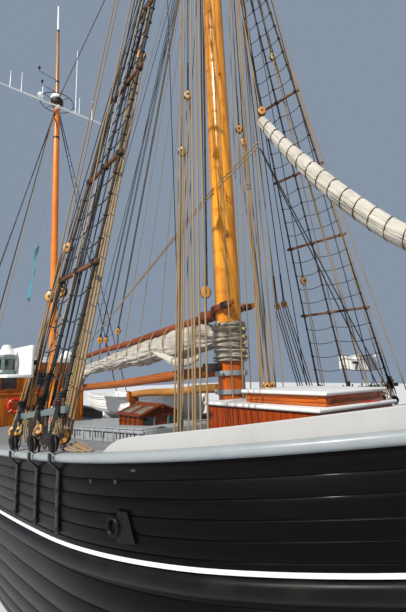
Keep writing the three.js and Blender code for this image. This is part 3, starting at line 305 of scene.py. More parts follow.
def joinery(name, light, dark, board=None, axis=0, rough=0.24, run=2, coat=0.5, seam=0.85):
    f = Finish(name)
    at = f.place()
    stretch = tuple(1.6 if k == run else 26.0 for k in range(3))
    grain = f.noise(f.stretched(at, stretch), 1.0, 6.0, 0.6, 0.4)
    patch = f.noise(at, 2.3, 3.0)
    color = grain.ramp(0.3, 0.72).blend(light, dark)
    height = grain * 0.5
    if board:
        step = f.parts(at)[axis] / board
        line = (step.fraction() - 0.5).size().ramp(0.43, 0.475)
        tone = f.noise(step.floor() * 3.37, 1.0, 0.0)
        color = (tone.ramp(0.3, 0.7) * 0.4).blend(color, dark)
        color = (line * seam).blend(color, (0.02, 0.006, 0.002))
        height = height - line * 3.0
    color = (patch.ramp(0.45, 0.75) * 0.4).blend(color, dark)
    return f.finish(color, rough + patch * 0.18, height, 0.0014, 0.6, Specular_IOR_Level=0.25, Coat_Weight=coat * 0.3,
                    Coat_Roughness=0.1)


MAST_WOOD = log_wood("mast_pine", (0.98, 0.44, 0.045), (0.84, 0.29, 0.022), (0.46, 0.12, 0.008), 1.0, 0.17, 0.8,
                     (3.0, 3.75, (0.46, 0.06, 0.005)))
MIZZEN_WOOD = log_wood("mizzen_pine", (0.92, 0.28, 0.032), (0.7, 0.17, 0.015), (0.36, 0.075, 0.008), 0.6, 0.22, 0.6)
SPAR_WOOD = log_wood("boom_pine", (0.43, 0.13, 0.016), (0.27, 0.062, 0.008), (0.13, 0.03, 0.005), 0.7, 0.25, 0.5)
POLE_WOOD = log_wood("pole_pine", (0.5, 0.23, 0.05), (0.33, 0.14, 0.03), (0.17, 0.08, 0.02), 0.9, 0.38, 0.2)
GAFF_WOOD = log_wood("gaff_wood", (0.27, 0.065, 0.02), (0.17, 0.034, 0.011), (0.09, 0.02, 0.008), 0.3, 0.4, 0.15)
STAVE_WOOD = joinery("stave_wood", (0.38, 0.06, 0.003), (0.22, 0.029, 0.002), 0.094, 0, 0.2, 2, 0.5, 0.4)
PANEL_WOOD = joinery("panel_wood", (0.62, 0.15, 0.018), (0.32, 0.06, 0.007), 0.11, 2, 0.22, 0, 0.5, 0.6)
SKY_WOOD = joinery("skylight_wood", (0.24, 0.044, 0.006), (0.1, 0.018, 0.003), 0.11, 2, 0.24, 0, 0.4, 0.6)
HOUSE_WOOD = joinery("house_wood", (0.8, 0.24, 0.022), (0.48, 0.11, 0.01), 0.095, 1, 0.22)
BATTEN_WOOD = joinery("batten_wood", (0.17, 0.075, 0.035), (0.075, 0.032, 0.016), None, 0, 0.55, 0, 0.0)
BLOCK_WOOD = joinery("block_wood", (0.66, 0.34, 0.075), (0.42, 0.18, 0.035), None, 0, 0.3, 2, 0.3)
PALE_BLOCK = joinery("block_pale", (0.74, 0.58, 0.3), (0.5, 0.33, 0.14), None, 0, 0.35, 2, 0.2)
print("varnished wood:", MAST_WOOD.name, SPAR_WOOD.name, GAFF_WOOD.name)

# %% [markdown]
# ## Rope, canvas, metal and glass
# A rope's strands run round it in a spiral. Its UV map has u in metres along it and v once round, so a sine of both
# gives the lay, and the same sine paints shade into the grooves between the strands. Canvas shows its weave close up;
# from afar it shows grey blotches, partly water marks and partly painted shade, and painted shade in its creases.
# The rest is small: galvanised and black iron, bronze, leather, and dark window glass.

# %% Mix the rope and the canvas
def rope_stuff(name, light, dark, lay=38.0, rough=0.85, lays=3.0, depth=0.0022):
    f = Finish(name)
    u, v, _ = f.parts(f.place("UV"))
    strand = (u * lay * tau + v * lays * tau).sine()
    fibre = f.noise(f.vector(u * 60.0, v * 3.0), 1.0, 4.0)
    age = f.noise(f.vector(u * 1.1, 0.0), 1.0, 3.0)
    # Painted shade: the colour darkens in the grooves between the strands, following the lay.
    color = (strand.ramp(-1.0, 0.6) * 0.7 + fibre * 0.3).blend(dark, light)
    color = (age.ramp(0.4, 0.75) * 0.45).blend(color, dark)
    return f.finish(color, rough, strand + fibre * 0.6, depth, 0.9)


def canvas_stuff(name, light, shade, weave=520.0, damp_and_shade=0.5):
    f = Finish(name)
    u, v, _ = f.parts(f.place("UV"))
    at = f.place()
    cloth = (u * weave).sine() * (v * weave).sine()
    crease = f.noise(f.vector(u * 3.0, v * 9.0), 1.0, 6.0, 0.65, 0.8)
    stain = f.noise(at, 2.6, 6.0, 0.65)
    spots = f.noise(at, 22.0, 3.0)
    # Grey blotches: partly water marks, partly painted shade.
    color = (stain.ramp(0.42, 0.72) * damp_and_shade).blend(light, shade)
    # Painted shade: the colour darkens in the hollows of the creases.
    color = (crease.ramp(0.3, 0.5) * -0.35 + 0.35).blend(color, tuple(0.6 * s for s in shade))
    color = (spots.ramp(0.66, 0.78) * 0.3).blend(color, shade)
    return f.finish(color, 0.86, cloth * 0.1 + crease * 1.6, 0.011, 0.85, Sheen_Weight=0.15)


MANILA = rope_stuff("manila_rope", (0.46, 0.33, 0.17), (0.19, 0.12, 0.055))
PALE_ROPE = rope_stuff("pale_rope", (0.56, 0.43, 0.27), (0.26, 0.18, 0.1))
GREY_ROPE = rope_stuff("grey_rope", (0.62, 0.59, 0.52), (0.25, 0.23, 0.2), 30.0)
TARRED = rope_stuff("tarred_rope", (0.034, 0.03, 0.027), (0.008, 0.007, 0.007), 45.0, 0.6)
BROWN_ROPE = rope_stuff("brown_rope", (0.12, 0.07, 0.035), (0.035, 0.02, 0.012), 45.0, 0.75)
CANVAS = canvas_stuff("sail_canvas", (0.47, 0.44, 0.385), (0.16, 0.145, 0.12))
# A darker copy of the sail canvas for the heaped luff: painted shade in its folds.
LUFF_CANVAS_SHADED = canvas_stuff("luff_canvas_shaded", (0.38, 0.335, 0.27), (0.1, 0.085, 0.065))
STAY_CANVAS = canvas_stuff("staysail_canvas", (0.56, 0.53, 0.46), (0.3, 0.28, 0.24), 520.0, 0.5)
TEAL_CLOTH = canvas_stuff("teal_cloth", (0.015, 0.27, 0.36), (0.01, 0.15, 0.21), 900.0, 0.4)
print("rope and canvas ready")


# %% Mix the metals, the leather and the glass
def metal(name, light, dark, rough=0.4, bite=0.5, metallic=0.9):
    f = Finish(name)
    at = f.place()
    pit = f.noise(at, 45.0, 5.0, 0.6)
    cloud = f.noise(at, 6.0, 4.0)
    color = (pit.ramp(0.45, 0.7) * bite + cloud.ramp(0.45, 0.75) * 0.4).blend(light, dark)
    return f.finish(color, rough + cloud * 0.25, pit, 0.0012, 0.5, Metallic=metallic)


def glass(name, tint=(0.012, 0.016, 0.02)):
    f = Finish(name)
    at = f.place()
    haze = f.noise(at, 5.0, 4.0)
    color = (haze.ramp(0.4, 0.8) * 0.5).blend(tint, (0.05, 0.06, 0.07))
    return f.finish(color, 0.05 + haze * 0.1, f.noise(at, 9.0), 0.0004, 0.4, Coat_Weight=0.6, Coat_Roughness=0.03)


GALVANISED = metal("galvanised_iron", (0.42, 0.44, 0.45), (0.2, 0.21, 0.22), 0.42, 0.6, 0.75)
BLACK_IRON = metal("black_iron", (0.022, 0.022, 0.024), (0.06, 0.035, 0.02), 0.4, 0.4, 0.35)
BRONZE = metal("dull_bronze", (0.42, 0.27, 0.08), (0.14, 0.1, 0.04), 0.35, 0.5, 0.95)
LEATHER = metal("black_leather", (0.018, 0.014, 0.012), (0.05, 0.035, 0.025), 0.5, 0.6, 0.0)
GLASS = glass("dark_glass")
GREEN_GLASS = glass("green_glass", (0.006, 0.022, 0.016))
PALE_PANE = glass("pale_pane", (0.3, 0.28, 0.26))
RED_GLASS = glass("red_glass", (0.22, 0.008, 0.005))
print("metals and glass ready;", len(bpy.data.materials), "materials")

# %% [markdown]
# ## Tools for making pieces
# Most of a ship is a sheet bent over a form, a rod along a path, a turned shape or a bevelled board. One helper makes
# each. A sheet starts as a flat grid from bmesh, and every point of it is moved onto the form, so the grid's own two
# directions become the piece's UV map.

# %% Sheets, rods, turned shapes and boards
WELD, SOFT_ANGLE = 2e-5, radians(38)


def mix(a, b, share):
    return a + (b - a) * share


def turns_of(count, share=1.0):
    """The turns of count equal steps round a circle or a share of one, both ends included."""
    return [tau * share * k / count for k in range(count + 1)]


def polar(turn, out, z=0.0):
    """A step outwards at a turn about the upright axis."""
    return vec(out * cos(turn), out * sin(turn), z)


def across(frame_here, turn):
    """The direction at a turn round a path, from the two directions that lie across it."""
    return frame_here[0] * cos(turn) + frame_here[1] * sin(turn)


def placed(middle, turn, axis="Z"):
    return Matrix.Translation(Vector(middle)) @ Matrix.Rotation(turn, 4, axis)


def straight(a, b, parts=4):
    return [a.lerp(b, k / parts) for k in range(parts + 1)]


def meshes(count):
    return [bmesh.new() for _ in range(count)]


def sheet_on(bm, columns, rows, form, uv=None):
    """Adds a grid of columns by rows cells, moved onto form(s, t) with s and t from 0 to 1."""
    layer = bm.loops.layers.uv.verify()
    made = bmesh.ops.create_grid(bm, x_segments=columns, y_segments=rows, size=0.5)["verts"]
    share = {v: (v.co.x + 0.5, v.co.y + 0.5) for v in made}
    for face in {f for v in made for f in v.link_faces}:
        for loop in face.loops:
            s, t = share[loop.vert]
            loop[layer].uv = uv(s, t) if uv else (s, t)
    for v, (s, t) in share.items():
        v.co = form(s, t)
    return made


def close_ends(bm, verts):
    rim = {e for v in verts if v.is_valid for e in v.link_edges if e.is_boundary}
    bmesh.ops.holes_fill(bm, edges=list(rim), sides=0)


def tube_on(bm, columns, rows, form, uv=None, dist=1e-5, close=True):
    """A sheet rolled into a tube: its seam is welded and, unless close is False, its ends are filled."""
    made = sheet_on(bm, columns, rows, form, uv)
    bmesh.ops.remove_doubles(bm, verts=made, dist=dist)
    if close:
        close_ends(bm, made)
    return [v for v in made if v.is_valid]


def frames_along(points):
    """Two directions across the path at each point, turned as little as possible from one to the next."""
    steps = [(points[min(k + 1, len(points) - 1)] - points[max(k - 1, 0)]).normalized() for k in range(len(points))]
    side = steps[0].orthogonal().normalized()
    frames = []
    for step in steps:
        side = (side - step * side.dot(step)).normalized()
        frames.append((side, step.cross(side)))
    return frames


def lengths_along(points):
    """How far along the path each point lies."""
    lengths = [0.0]
    for a, b in zip(points, points[1:]):
        lengths.append(lengths[-1] + (b - a).length)
    return lengths


def rod(bm, points, radius, sides=6, close=True):
    """Sweeps a circle along points. The radius is a number or a function of the share of the way along."""
    points = [Vector(p) for p in points]
    frames = frames_along(points)
    lengths = lengths_along(points)
    last = len(points) - 1
    size = radius if callable(radius) else (lambda share: radius)
    metre_round = 1.0 if sides < 9 else tau * size(0.5)

    def form(s, t):
        k = min(round(s * last), last)
        return points[k] + across(frames[k], -tau * t) * size(s)

    tube_on(bm, last, sides, form, lambda s, t: (lengths[min(round(s * last), last)], t * metre_round), 1e-6, close)


def lathe(bm, profile, base, axis, steps=16):
    """Turns a profile of (along, out) pairs round an axis through base."""
    base, axis = Vector(base), Vector(axis).normalized()
    side = axis.orthogonal().normalized()
    row = [bm.verts.new(base + axis * along + side * out) for along, out in profile]
    edges = [bm.edges.new(pair) for pair in zip(row, row[1:])]
    bmesh.ops.spin(bm, geom=row + edges, cent=base, axis=axis, angle=tau, steps=steps, use_merge=True,
                   use_duplicate=False)


def soften(bm, edges, offset, segments=2, clamp=False):
    """Rounds edges by a bevel."""
    return bmesh.ops.bevel(bm, geom=list(edges), offset=offset, affect="EDGES", segments=segments, profile=0.5,
                           material=-1, clamp_overlap=clamp)


def board(bm, size, place, bevel=0.006, segments=2):
    """A bevelled board of that size, put in place by a matrix or by its middle."""
    matrix = place if isinstance(place, Matrix) else Matrix.Translation(Vector(place))
    made = bmesh.ops.create_cube(bm, size=1.0)["verts"]
    bmesh.ops.scale(bm, vec=size, verts=made)
    if bevel:
        edges = list({e for v in made for e in v.link_edges})
        rounded = soften(bm, edges, min(bevel, 0.45 * min(size)), segments)
        made = list({v for f in rounded["faces"] for v in f.verts} | {v for v in made if v.is_valid})
    bmesh.ops.transform(bm, matrix=matrix, verts=made)


def between(a, b, wide_dir=(0, 0, 1)):
    """A matrix whose X axis runs from a to b and whose origin is halfway."""
    a, b = Vector(a), Vector(b)
    x = (b - a).normalized()
    y = Vector(wide_dir).cross(x).normalized()
    return Matrix.Translation((a + b) / 2) @ Matrix((x, y, x.cross(y))).transposed().to_4x4()


def piece(name, bm, material, body="hull", slot=None, replaces=(), weld=True, turn=True):
    """Makes the object, gives it its finish, hangs it on the body it rides on and hides the nodes it stands for."""
    if weld:
        bmesh.ops.remove_doubles(bm, verts=bm.verts, dist=WELD)
    if turn:
        bmesh.ops.recalc_face_normals(bm, faces=bm.faces)
    mesh = bpy.data.meshes.new(name)
    bm.to_mesh(mesh)
    bm.free()
    for one in material if isinstance(material, list) else [material]:
        mesh.materials.append(one)
    made = bpy.data.objects.new(name, mesh)
    bpy.context.scene.collection.objects.link(made)
    mesh.shade_smooth()
    mesh.set_sharp_from_angle(angle=SOFT_ANGLE)
    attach(made, body)
    nodes = (replaces,) if isinstance(replaces, str) else replaces
    if nodes:
        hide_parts(*nodes)
    slot or MATERIAL_OF[nodes[0]]
    PIECES[name] = len(mesh.polygons)
    return made


PIECES = {}


def dress(node, material, bevel=0.008, body="hull", angle=30):
    """A welded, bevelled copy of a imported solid, which then stands for it."""
    bm = bmesh.new()
    bm.from_mesh(frame["nodes"][node].data)
    bmesh.ops.remove_doubles(bm, verts=bm.verts, dist=1e-5)
    bmesh.ops.dissolve_limit(bm, angle_limit=radians(1), verts=bm.verts, edges=bm.edges)
    sharp = [e for e in bm.edges if len(e.link_faces) == 2 and e.calc_face_angle(0) > radians(angle)]
    if bevel:
        soften(bm, sharp, bevel, 3, True)
    piece(f"{node}_finished", bm, material, body, replaces=node, weld=False)


def even(start, stop, step):
    """Numbers from start to stop, as near to that step apart as goes in."""
    count = max(2, round((stop - start) / step))
    return [mix(start, stop, k / count) for k in range(count + 1)]


def smooth_path(points, steps):
    """A Catmull-Rom curve through points, with steps stretches between each pair."""
    points = [Vector(p) for p in points]
    path = []
    for k in range(len(points) - 1):
        p0, p1 = points[max(k - 1, 0)], points[k]
        p2, p3 = points[k + 1], points[min(k + 2, len(points) - 1)]
        for n in range(steps):
            t = n / steps
            path.append(0.5 * ((2 * p1) + (p2 - p0) * t + (2 * p0 - 5 * p1 + 4 * p2 - p3) * t * t
                               + (3 * p1 - p0 - 3 * p2 + p3) * t * t * t))
    return path + [points[-1]]


print("modelling helpers ready")

# %% [markdown]
# ## The lines of the hull
# The hull is drawn as the yard would: a sheer line for the rail, a half breadth for each station, and a section that
# is full amidships and fine at the ends. Stations are drawn upright and then raked to meet the stem and the sternpost.
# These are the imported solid's own lines, in metres.

# %% Draw the lines
BOW, STERN, BEAM, FULL = 9.3, -9.3, 3.05, 4.16
RABBET, KEEL_HALF, SHEER_LOW = -1.95, 0.11, -5.7
RAIL_THICK, RAIL_OUT, RAIL_IN, BULWARK = 0.075, 0.06, 0.18, 0.07


def ease(t):
    c = min(max(t, 0.0), 1.0)
    return c * c * (3 - 2 * c)


def rail_top(x):
    return 1.5 + (0.0059 if x > SHEER_LOW else 0.02) * (x - SHEER_LOW) ** 2


def half_breadth(x):
    if x > FULL:
        return KEEL_HALF + (BEAM - KEEL_HALF) * (1 - ((x - FULL) / (BOW - FULL)) ** 2.35)
    return BEAM * (1 - 0.35 * ((FULL - x) / 14.0) ** 2.2)


def stem_x(z):
    d = 2.83 - z
    return BOW - 0.049 * d - 0.095 * d * d


def stern_x(z):
    return STERN + 0.1887 * (1.759 - z)


def deck_edge(x):
    return rail_top(x) - 0.42


def raked(x, z):
    if x > 6.0:
        return 6.0 + (x - 6.0) * (stem_x(z) - 6.0) / (BOW - 6.0)
    if x < -6.5:
        return -6.5 + (x + 6.5) * (stern_x(z) + 6.5) / (STERN + 6.5)
    return x


def side_at(x, z):
    """The hull's side on port at a station and a height."""
    edge = deck_edge(x)
    if z >= edge:
        return vec(raked(x, z), half_breadth(x), z)
    h = max(0.0, (z - RABBET) / (edge - RABBET))
    bow, stern = ease((x - 1.5) / 7.3), ease((-2.5 - x) / 6.8)
    power = 2.3 - 1.05 * bow - 0.9 * stern
    deadwood = 0.42 * stern
    g = max(0.0, (h - deadwood) / (1 - deadwood))
    fullness = (1 - (1 - g) ** power) ** (1 / power)
    return vec(raked(x, z), KEEL_HALF + (half_breadth(x) - KEEL_HALF) * fullness, z)


def deck_top(x, y):
    share = min(abs(y) / max(half_breadth(x), 0.4), 1)
    return deck_edge(x) + 0.04 + 0.15 * (1 - share * share)


def on_side(x, drop, out, sign):
    """A point on one side, a drop below the rail's top and out from the planks."""
    p = side_at(x, rail_top(x) - drop)
    return vec(p.x, sign * (p.y + out), p.z)


print("beam", 2 * half_breadth(FULL), "rail at the bow", round(rail_top(BOW), 2))

# %% [markdown]
# ## The planked sides
# Each side is one closed shell: its outer face runs from the rabbet at the keel up to the rail, and its inner face
# comes back down inside the bulwark. Seams are real grooves: at each one the grid has three close rows, and the
# middle row is pushed in. Above the white stripe the planks are 11 cm wide, as the photograph shows, and below it
# they get wider.

# %% Plank both sides
PLANK = 0.113
STRIPE = 0.682
UPPER = [0.188 + PLANK * k for k in range(5)]
LOWER = 17
ENDS = (STERN + 0.005, BOW - 0.002)


def plank_rows():
    """(drop share or drop, push, plank number) from the rail down; drops past 1.0 are shares below the stripe."""
    rows = [(0.076, 0.0, 0.0)]
    for n, seam in enumerate(UPPER):
        rows += [(seam - 0.007, 0.0, n + 0.94), (seam, 0.0055, n + 1.0), (seam + 0.007, 0.0, n + 1.06)]
        rows.append((seam + PLANK / 2, -0.0012, n + 1.5))
    rows.append((STRIPE + 0.02, 0.0, 6.0))
    for k in range(1, LOWER * 2):
        share, n = 2 + k / (LOWER * 2), 6 + k / 2
        if k % 2:
            rows.append((share, -0.0015, n))
        else:
            rows += [(share - 0.0035, 0.0, n - 0.06), (share, 0.006, n), (share + 0.0035, 0.0, n + 0.06)]
    rows.append((3.0, 0.0, 6.0 + LOWER))
    return rows


ROWS = plank_rows()
COLUMNS = 150


def station(s):
    return mix(ENDS[0], ENDS[1], s)


def hull_point(s, t, sign):
    x = station(s)
    total = len(ROWS) + 6
    k = round(t * total)
    if k < len(ROWS):
        drop, push, _ = ROWS[k]
        z = rail_top(x) - drop
        if drop >= 2:
            z = mix(rail_top(x) - STRIPE, RABBET, drop - 2)
        p = side_at(x, z)
        fade = min(1.0, max(0.0, (p.y - KEEL_HALF) / 0.1))
        return vec(p.x, sign * (p.y - push * fade), p.z)
    inner = k - len(ROWS)
    top = rail_top(x) - 0.076
    z = mix(RABBET, top, (0, 0.25, 0.55, 0.8, 0.9, 0.97, 1)[inner])
    p = side_at(x, z)
    return vec(p.x, sign * max(p.y - BULWARK, 0.02), z)


def hull_uv(s, t):
    k = round(t * (len(ROWS) + 6))
    count = ROWS[k][2] if k < len(ROWS) else 8.5
    return station(s) - BOW, count


def closed_shell(bm, columns, rows, form, uv):
    """A sheet whose last row is joined back to its first, with its two ends closed."""
    made = sheet_on(bm, columns, rows, form, uv)
    top, bottom = made[:columns + 1], made[rows * (columns + 1):]
    layer = bm.loops.layers.uv.verify()
    for k in range(columns):
        face = bm.faces.new((bottom[k], bottom[k + 1], top[k + 1], top[k]))
        for loop, (s, t) in zip(face.loops, ((k, 1), (k + 1, 1), (k + 1, 0), (k, 0))):
            loop[layer].uv = uv(s / columns, t)
    close_ends(bm, made)


for sign, side_name in SIDES:
    shell = bmesh.new()
    closed_shell(shell, COLUMNS, len(ROWS) + 6, lambda s, t: hull_point(s, t, sign), hull_uv)
    names = ("bulwark_starboard",) if sign < 0 else ("bulwark_port", "hull")
    for face in shell.faces:
        middle = face.calc_center_median()
        inside = abs(middle.y) < side_at(middle.x, middle.z).y - 0.045
        if inside and middle.z > deck_edge(middle.x) - 0.02 and abs(middle.x) < 9.1:
            face.material_index = 1
    piece(f"planking_{side_name}", shell, [HULL_BLACK, INNER_BLUE], slot="black_paint", replaces=names)
print("planking faces:", PIECES["planking_starboard"], "a side")

# %% [markdown]
# ## Rails and strakes
# A long moulding is one cross-section carried along the hull's side. The cap rail has a full round nose outside and a
# small one inside. The wash strake is a plank standing on it, higher at the bow and cut off in a low scroll aft. The
# white stripe and the black half-round strake below it are planted on the planks.

# %% Run the mouldings along the sides
def moulding(name, stations, section, material, node, sign):
    """Sweeps a closed section of (out, height) pairs, given for each station, along one side of the hull."""
    bm = bmesh.new()
    count = len(section(stations[0]))
    last = len(stations) - 1

    def form(s, t):
        x = stations[round(s * last)]
        out, z = section(x)[round(t * (count - 1))]
        p = side_at(x, z)
        return vec(p.x, sign * max(p.y + out, 0.004), z)

    closed_shell(bm, last, count - 1, form, lambda s, t: (stations[round(s * last)], t))
    piece(name, bm, material, slot=MATERIAL_OF.get(node, "white_paint"), replaces=node or ())


def nose(out, low, high, steps=6):
    """Half a circle that rounds the outer edge of a plank between two heights."""
    r = (high - low) / 2
    return [(out - r + r * sin(a), (low + high) / 2 - r * cos(a)) for a in turns_of(steps, 0.5)]


def rail_section(x):
    top = rail_top(x)
    foot, inner = top - RAIL_THICK, -min(RAIL_IN, half_breadth(x) - 0.006)
    return nose(RAIL_OUT, foot + 0.001, top) + [(inner + 0.012, top), (inner, top - 0.012), (inner, foot + 0.012),
                                                (inner + 0.012, foot + 0.001)]


RAIL_RUN = even(-9.23, 8.6, 0.16) + even(8.64, 9.28, 0.05)
STRAKE_RISE = ((5.15, 0.0), (5.19, 0.036), (5.25, 0.062), (5.33, 0.083), (5.42, 0.093), (5.6, 0.098), (6.2, 0.105),
               (7.2, 0.122), (8.0, 0.138), (8.6, 0.148), (9.08, 0.155))


def table_size(table):
    """A function that reads the table's (place, size) pairs, with straight lines between them."""
    def size(z):
        for (low, a), (high, b) in zip(table, table[1:]):
            if z <= high:
                return mix(a, b, max(0.0, (z - low) / (high - low)))
        return table[-1][1]
    return size


rise_at = table_size(STRAKE_RISE)


def strake_section(x):
    foot, head = rail_top(x) + 0.0005, rail_top(x) + max(rise_at(x), 0.004)
    r = min(0.009, (head - foot) / 3)
    return [(-0.028, foot), (-0.034, head - r), (-0.034 - r, head), (-0.078 + r, head), (-0.078, head - r),
            (-0.073, foot)]


def stripe_section(x):
    top = rail_top(x) - STRIPE
    return [(0.001, top - 0.031), (0.009, top - 0.029), (0.011, top - 0.016), (0.009, top - 0.003),
            (0.001, top - 0.001), (-0.006, top - 0.016)]


def rub_section(x):
    top = rail_top(x) - STRIPE - 0.038
    arc = [(-0.012 + 0.062 * sin(a), top - 0.07 - 0.07 * cos(a)) for a in turns_of(8, 0.5)]
    return arc + [(-0.025, top - 0.01), (-0.025, top - 0.13)]


HULL_RUN = even(-9.2, 9.12, 0.14)
for sign, side_name in SIDES:
    moulding(f"rail_{side_name}", RAIL_RUN, rail_section, RAIL_BLUE, f"cap_rail_{side_name}", sign)
    moulding(f"wash_plank_{side_name}", [x for x, _ in STRAKE_RISE[:5]] + even(5.6, 9.08, 0.15), strake_section,
             WASH_WHITE, f"wash_strake_{side_name}", sign)
    moulding(f"stripe_{side_name}", HULL_RUN, stripe_section, STRIPE_WHITE, None, sign)
    moulding(f"rub_{side_name}", HULL_RUN, rub_section, TIMBER_BLACK, f"rubbing_strake_{side_name}", sign)
print("mouldings:", PIECES["rail_port"], PIECES["stripe_port"], "faces")

# %% [markdown]
# ## What is fixed to the planks
# Each bow carries a cast hawse ring, with a tapered pad plate on it and two small slots above. Scuppers drain the deck
# at regular places on both sides.

# %% Fix the hawse rings and scuppers
def side_frame(x, drop, sign):
    """A matrix at a place on the side: X along the planks, Y up them, Z straight out."""
    at = on_side(x, drop, 0.0, sign)
    along = (on_side(x + 0.05, drop, 0.0, sign) - on_side(x - 0.05, drop, 0.0, sign)).normalized()
    rise = (on_side(x, drop - 0.03, 0.0, sign) - on_side(x, drop + 0.03, 0.0, sign)).normalized()
    out = along.cross(rise).normalized() * (-1 if along.cross(rise).y * sign < 0 else 1)
    return Matrix.Translation(at) @ Matrix((along, out.cross(along), out)).transposed().to_4x4()


def ring_profile(inner, outer, thick):
    middle, half = (inner + outer) / 2, (outer - inner) / 2
    return [(thick * sin(a), middle + half * cos(a)) for a in turns_of(10)]


def thicken(bm, corners, step):
    """A slab with that outline, as thick as the step it is pushed by."""
    face = bm.faces.new([bm.verts.new(c) for c in corners])
    grown = bmesh.ops.extrude_face_region(bm, geom=[face])["geom"]
    bmesh.ops.translate(bm, vec=step, verts=[g for g in grown if isinstance(g, bmesh.types.BMVert)])


HAWSE_X, HAWSE_DROP = 5.35, 0.49
fittings = bmesh.new()
for sign in (-1, 1):
    spot = side_frame(HAWSE_X, HAWSE_DROP, sign)
    out = spot.to_3x3() @ UP
    lathe(fittings, ring_profile(0.038, 0.074, 0.026), spot.translation + out * 0.006, out, 20)
    lathe(fittings, [(-0.002, 0.0), (-0.002, 0.055)], spot.translation + out * 0.004, out, 16)
    pad = [(0.05, 0.105), (0.16, 0.1), (0.215, -0.095), (0.02, -0.1)]
    thicken(fittings, [spot @ vec(x, y, 0.001) for x, y in pad], out * 0.012)
piece("hawse_rings", fittings, TIMBER_BLACK, slot="black_paint")

ports = bmesh.new()
for sign in (-1, 1):
    for x, drop in ((5.35, 0.2), (5.05, 0.205), (2.4, 0.44), (0.2, 0.44), (-2.2, 0.44), (-4.6, 0.44), (-6.6, 0.44)):
        spot = side_frame(x, drop, sign)
        board(ports, (0.1 if drop > 0.3 else 0.035, 0.03, 0.012), spot, 0.005)
piece("scuppers", ports, BLACK_IRON, slot="iron")
print("fixed to the sides:", PIECES["hawse_rings"], PIECES["scuppers"])

# %% Dress the backbone
for node in ("keel", "stem", "sternpost", "bulwark_transom"):
    dress(node, TIMBER_BLACK, 0.012)
dress("rudder", TIMBER_BLACK, 0.006, "rudder")
dress("propeller", BRONZE, 0.003, "propeller")
dress("windlass_bitts", STAVE_WOOD, 0.012)
dress("windlass_barrel", BLACK_IRON, 0.01, "windlass_barrel")

# %% [markdown]
# ## Deck furniture
# The deck is laid in narrow grey-blue planks. On it stand a long low hatch with a skylight, a companion ahead of the
# mast with wide white slabs, and a house aft. Boards are separate bevelled pieces wherever the photograph shows the
# joint: staves, corner posts, window bars and slabs with a full round edge.

# %% Lay the deck and the hatch
dress("deck", DECK_BLUE, 0.0)
dress("cargo_hatch", HATCH_BLUE, 0.015)

hatch = bmesh.new()
HATCH_X, HATCH_HALF = (-2.5, 2.3), 0.85
hatch_top = [deck_top(x, 0) + 0.21 for x in HATCH_X]


def hatch_z(x):
    return mix(hatch_top[0], hatch_top[1], (x - HATCH_X[0]) / (HATCH_X[1] - HATCH_X[0]))


for k in (0, 1, 6, 7):
    y = mix(-HATCH_HALF + 0.1, HATCH_HALF - 0.1, k / 7)
    a, b = (vec(x, y, hatch_z(x) + 0.012) for x in HATCH_X)
    board(hatch, ((b - a).length - 0.06, 0.228, 0.02), between(a, b), 0.005)
for sign in (-1, 1):
    for k in range(11):
        x = mix(HATCH_X[0] + 0.2, HATCH_X[1] - 0.15, k / 10)
        board(hatch, (0.035, 0.03, 0.2), (x, sign * (HATCH_HALF + 0.012), hatch_z(x) - 0.12), 0.006)
    a, b = (vec(x, sign * (HATCH_HALF + 0.02), hatch_z(x) - 0.03) for x in HATCH_X)
    board(hatch, ((b - a).length, 0.03, 0.05), between(a, b), 0.008)
piece("hatch_boards", hatch, HATCH_BLUE, slot="grey_blue")

slots = bmesh.new()
for k in range(34):
    x = mix(-2.0, 2.1, k / 33)
    if k % 9 < 6:
        board(slots, (0.022, 0.012, 0.11), (x, -HATCH_HALF - 0.004, hatch_z(x) - 0.12), 0.003)
piece("hatch_slots", slots, BLACK_IRON, slot="iron")

# %% [markdown]
# ## The skylight
# A red-brown hutch with a gabled roof sits on the hatch. Its lids are framed, with clear panes and bronze bars, and
# its ends have small dark windows between green posts. The lids lift, so everything on them rides on them.

# %% Build the skylight
SKY_X, SKY_HALF, EAVE, RIDGE = (0.7, 1.5), 0.45, 1.99, 2.16
slope = atan2(RIDGE - EAVE, SKY_HALF)
dress("skylight_box", SKY_WOOD, 0.006)
trim, posts, panes = meshes(3)
for x, face in zip(SKY_X, (-1, 1)):
    for sign in (-1, 1):
        board(trim, (0.03, 0.045, 0.28), (x + face * 0.014, sign * 0.425, 1.85), 0.006)
        board(posts, (0.03, 0.04, 0.2), (x + face * 0.013, sign * 0.16, 1.9), 0.008)
        tip = vec(x + face * 0.016, sign * 0.455, 1.985)
        top = vec(x + face * 0.016, 0, 2.155)
        board(trim, ((top - tip).length, 0.034, 0.04), between(tip, top, (1, 0, 0)), 0.006)
        board(panes, (0.02, 0.22, 0.13), (x + face * 0.006, sign * 0.29, 1.9), 0.003)
    for z, tall in ((1.985, 0.04), (1.735, 0.05)):
        board(trim, (0.03, 0.9, tall), (x + face * 0.014, 0, z), 0.006)
for sign in (-1, 1):
    for x in even(0.74, 1.46, 0.18):
        board(trim, (0.05, 0.02, 0.26), (x, sign * 0.459, 1.85), 0.005)
    board(trim, (0.8, 0.03, 0.045), (1.1, sign * 0.462, 1.735), 0.006)
piece("skylight_trim", trim, SKY_WOOD, slot="red_brown")
piece("skylight_posts", posts, GREEN_PAINT, slot="grey_blue")
piece("skylight_panes", panes, GLASS, slot="iron")

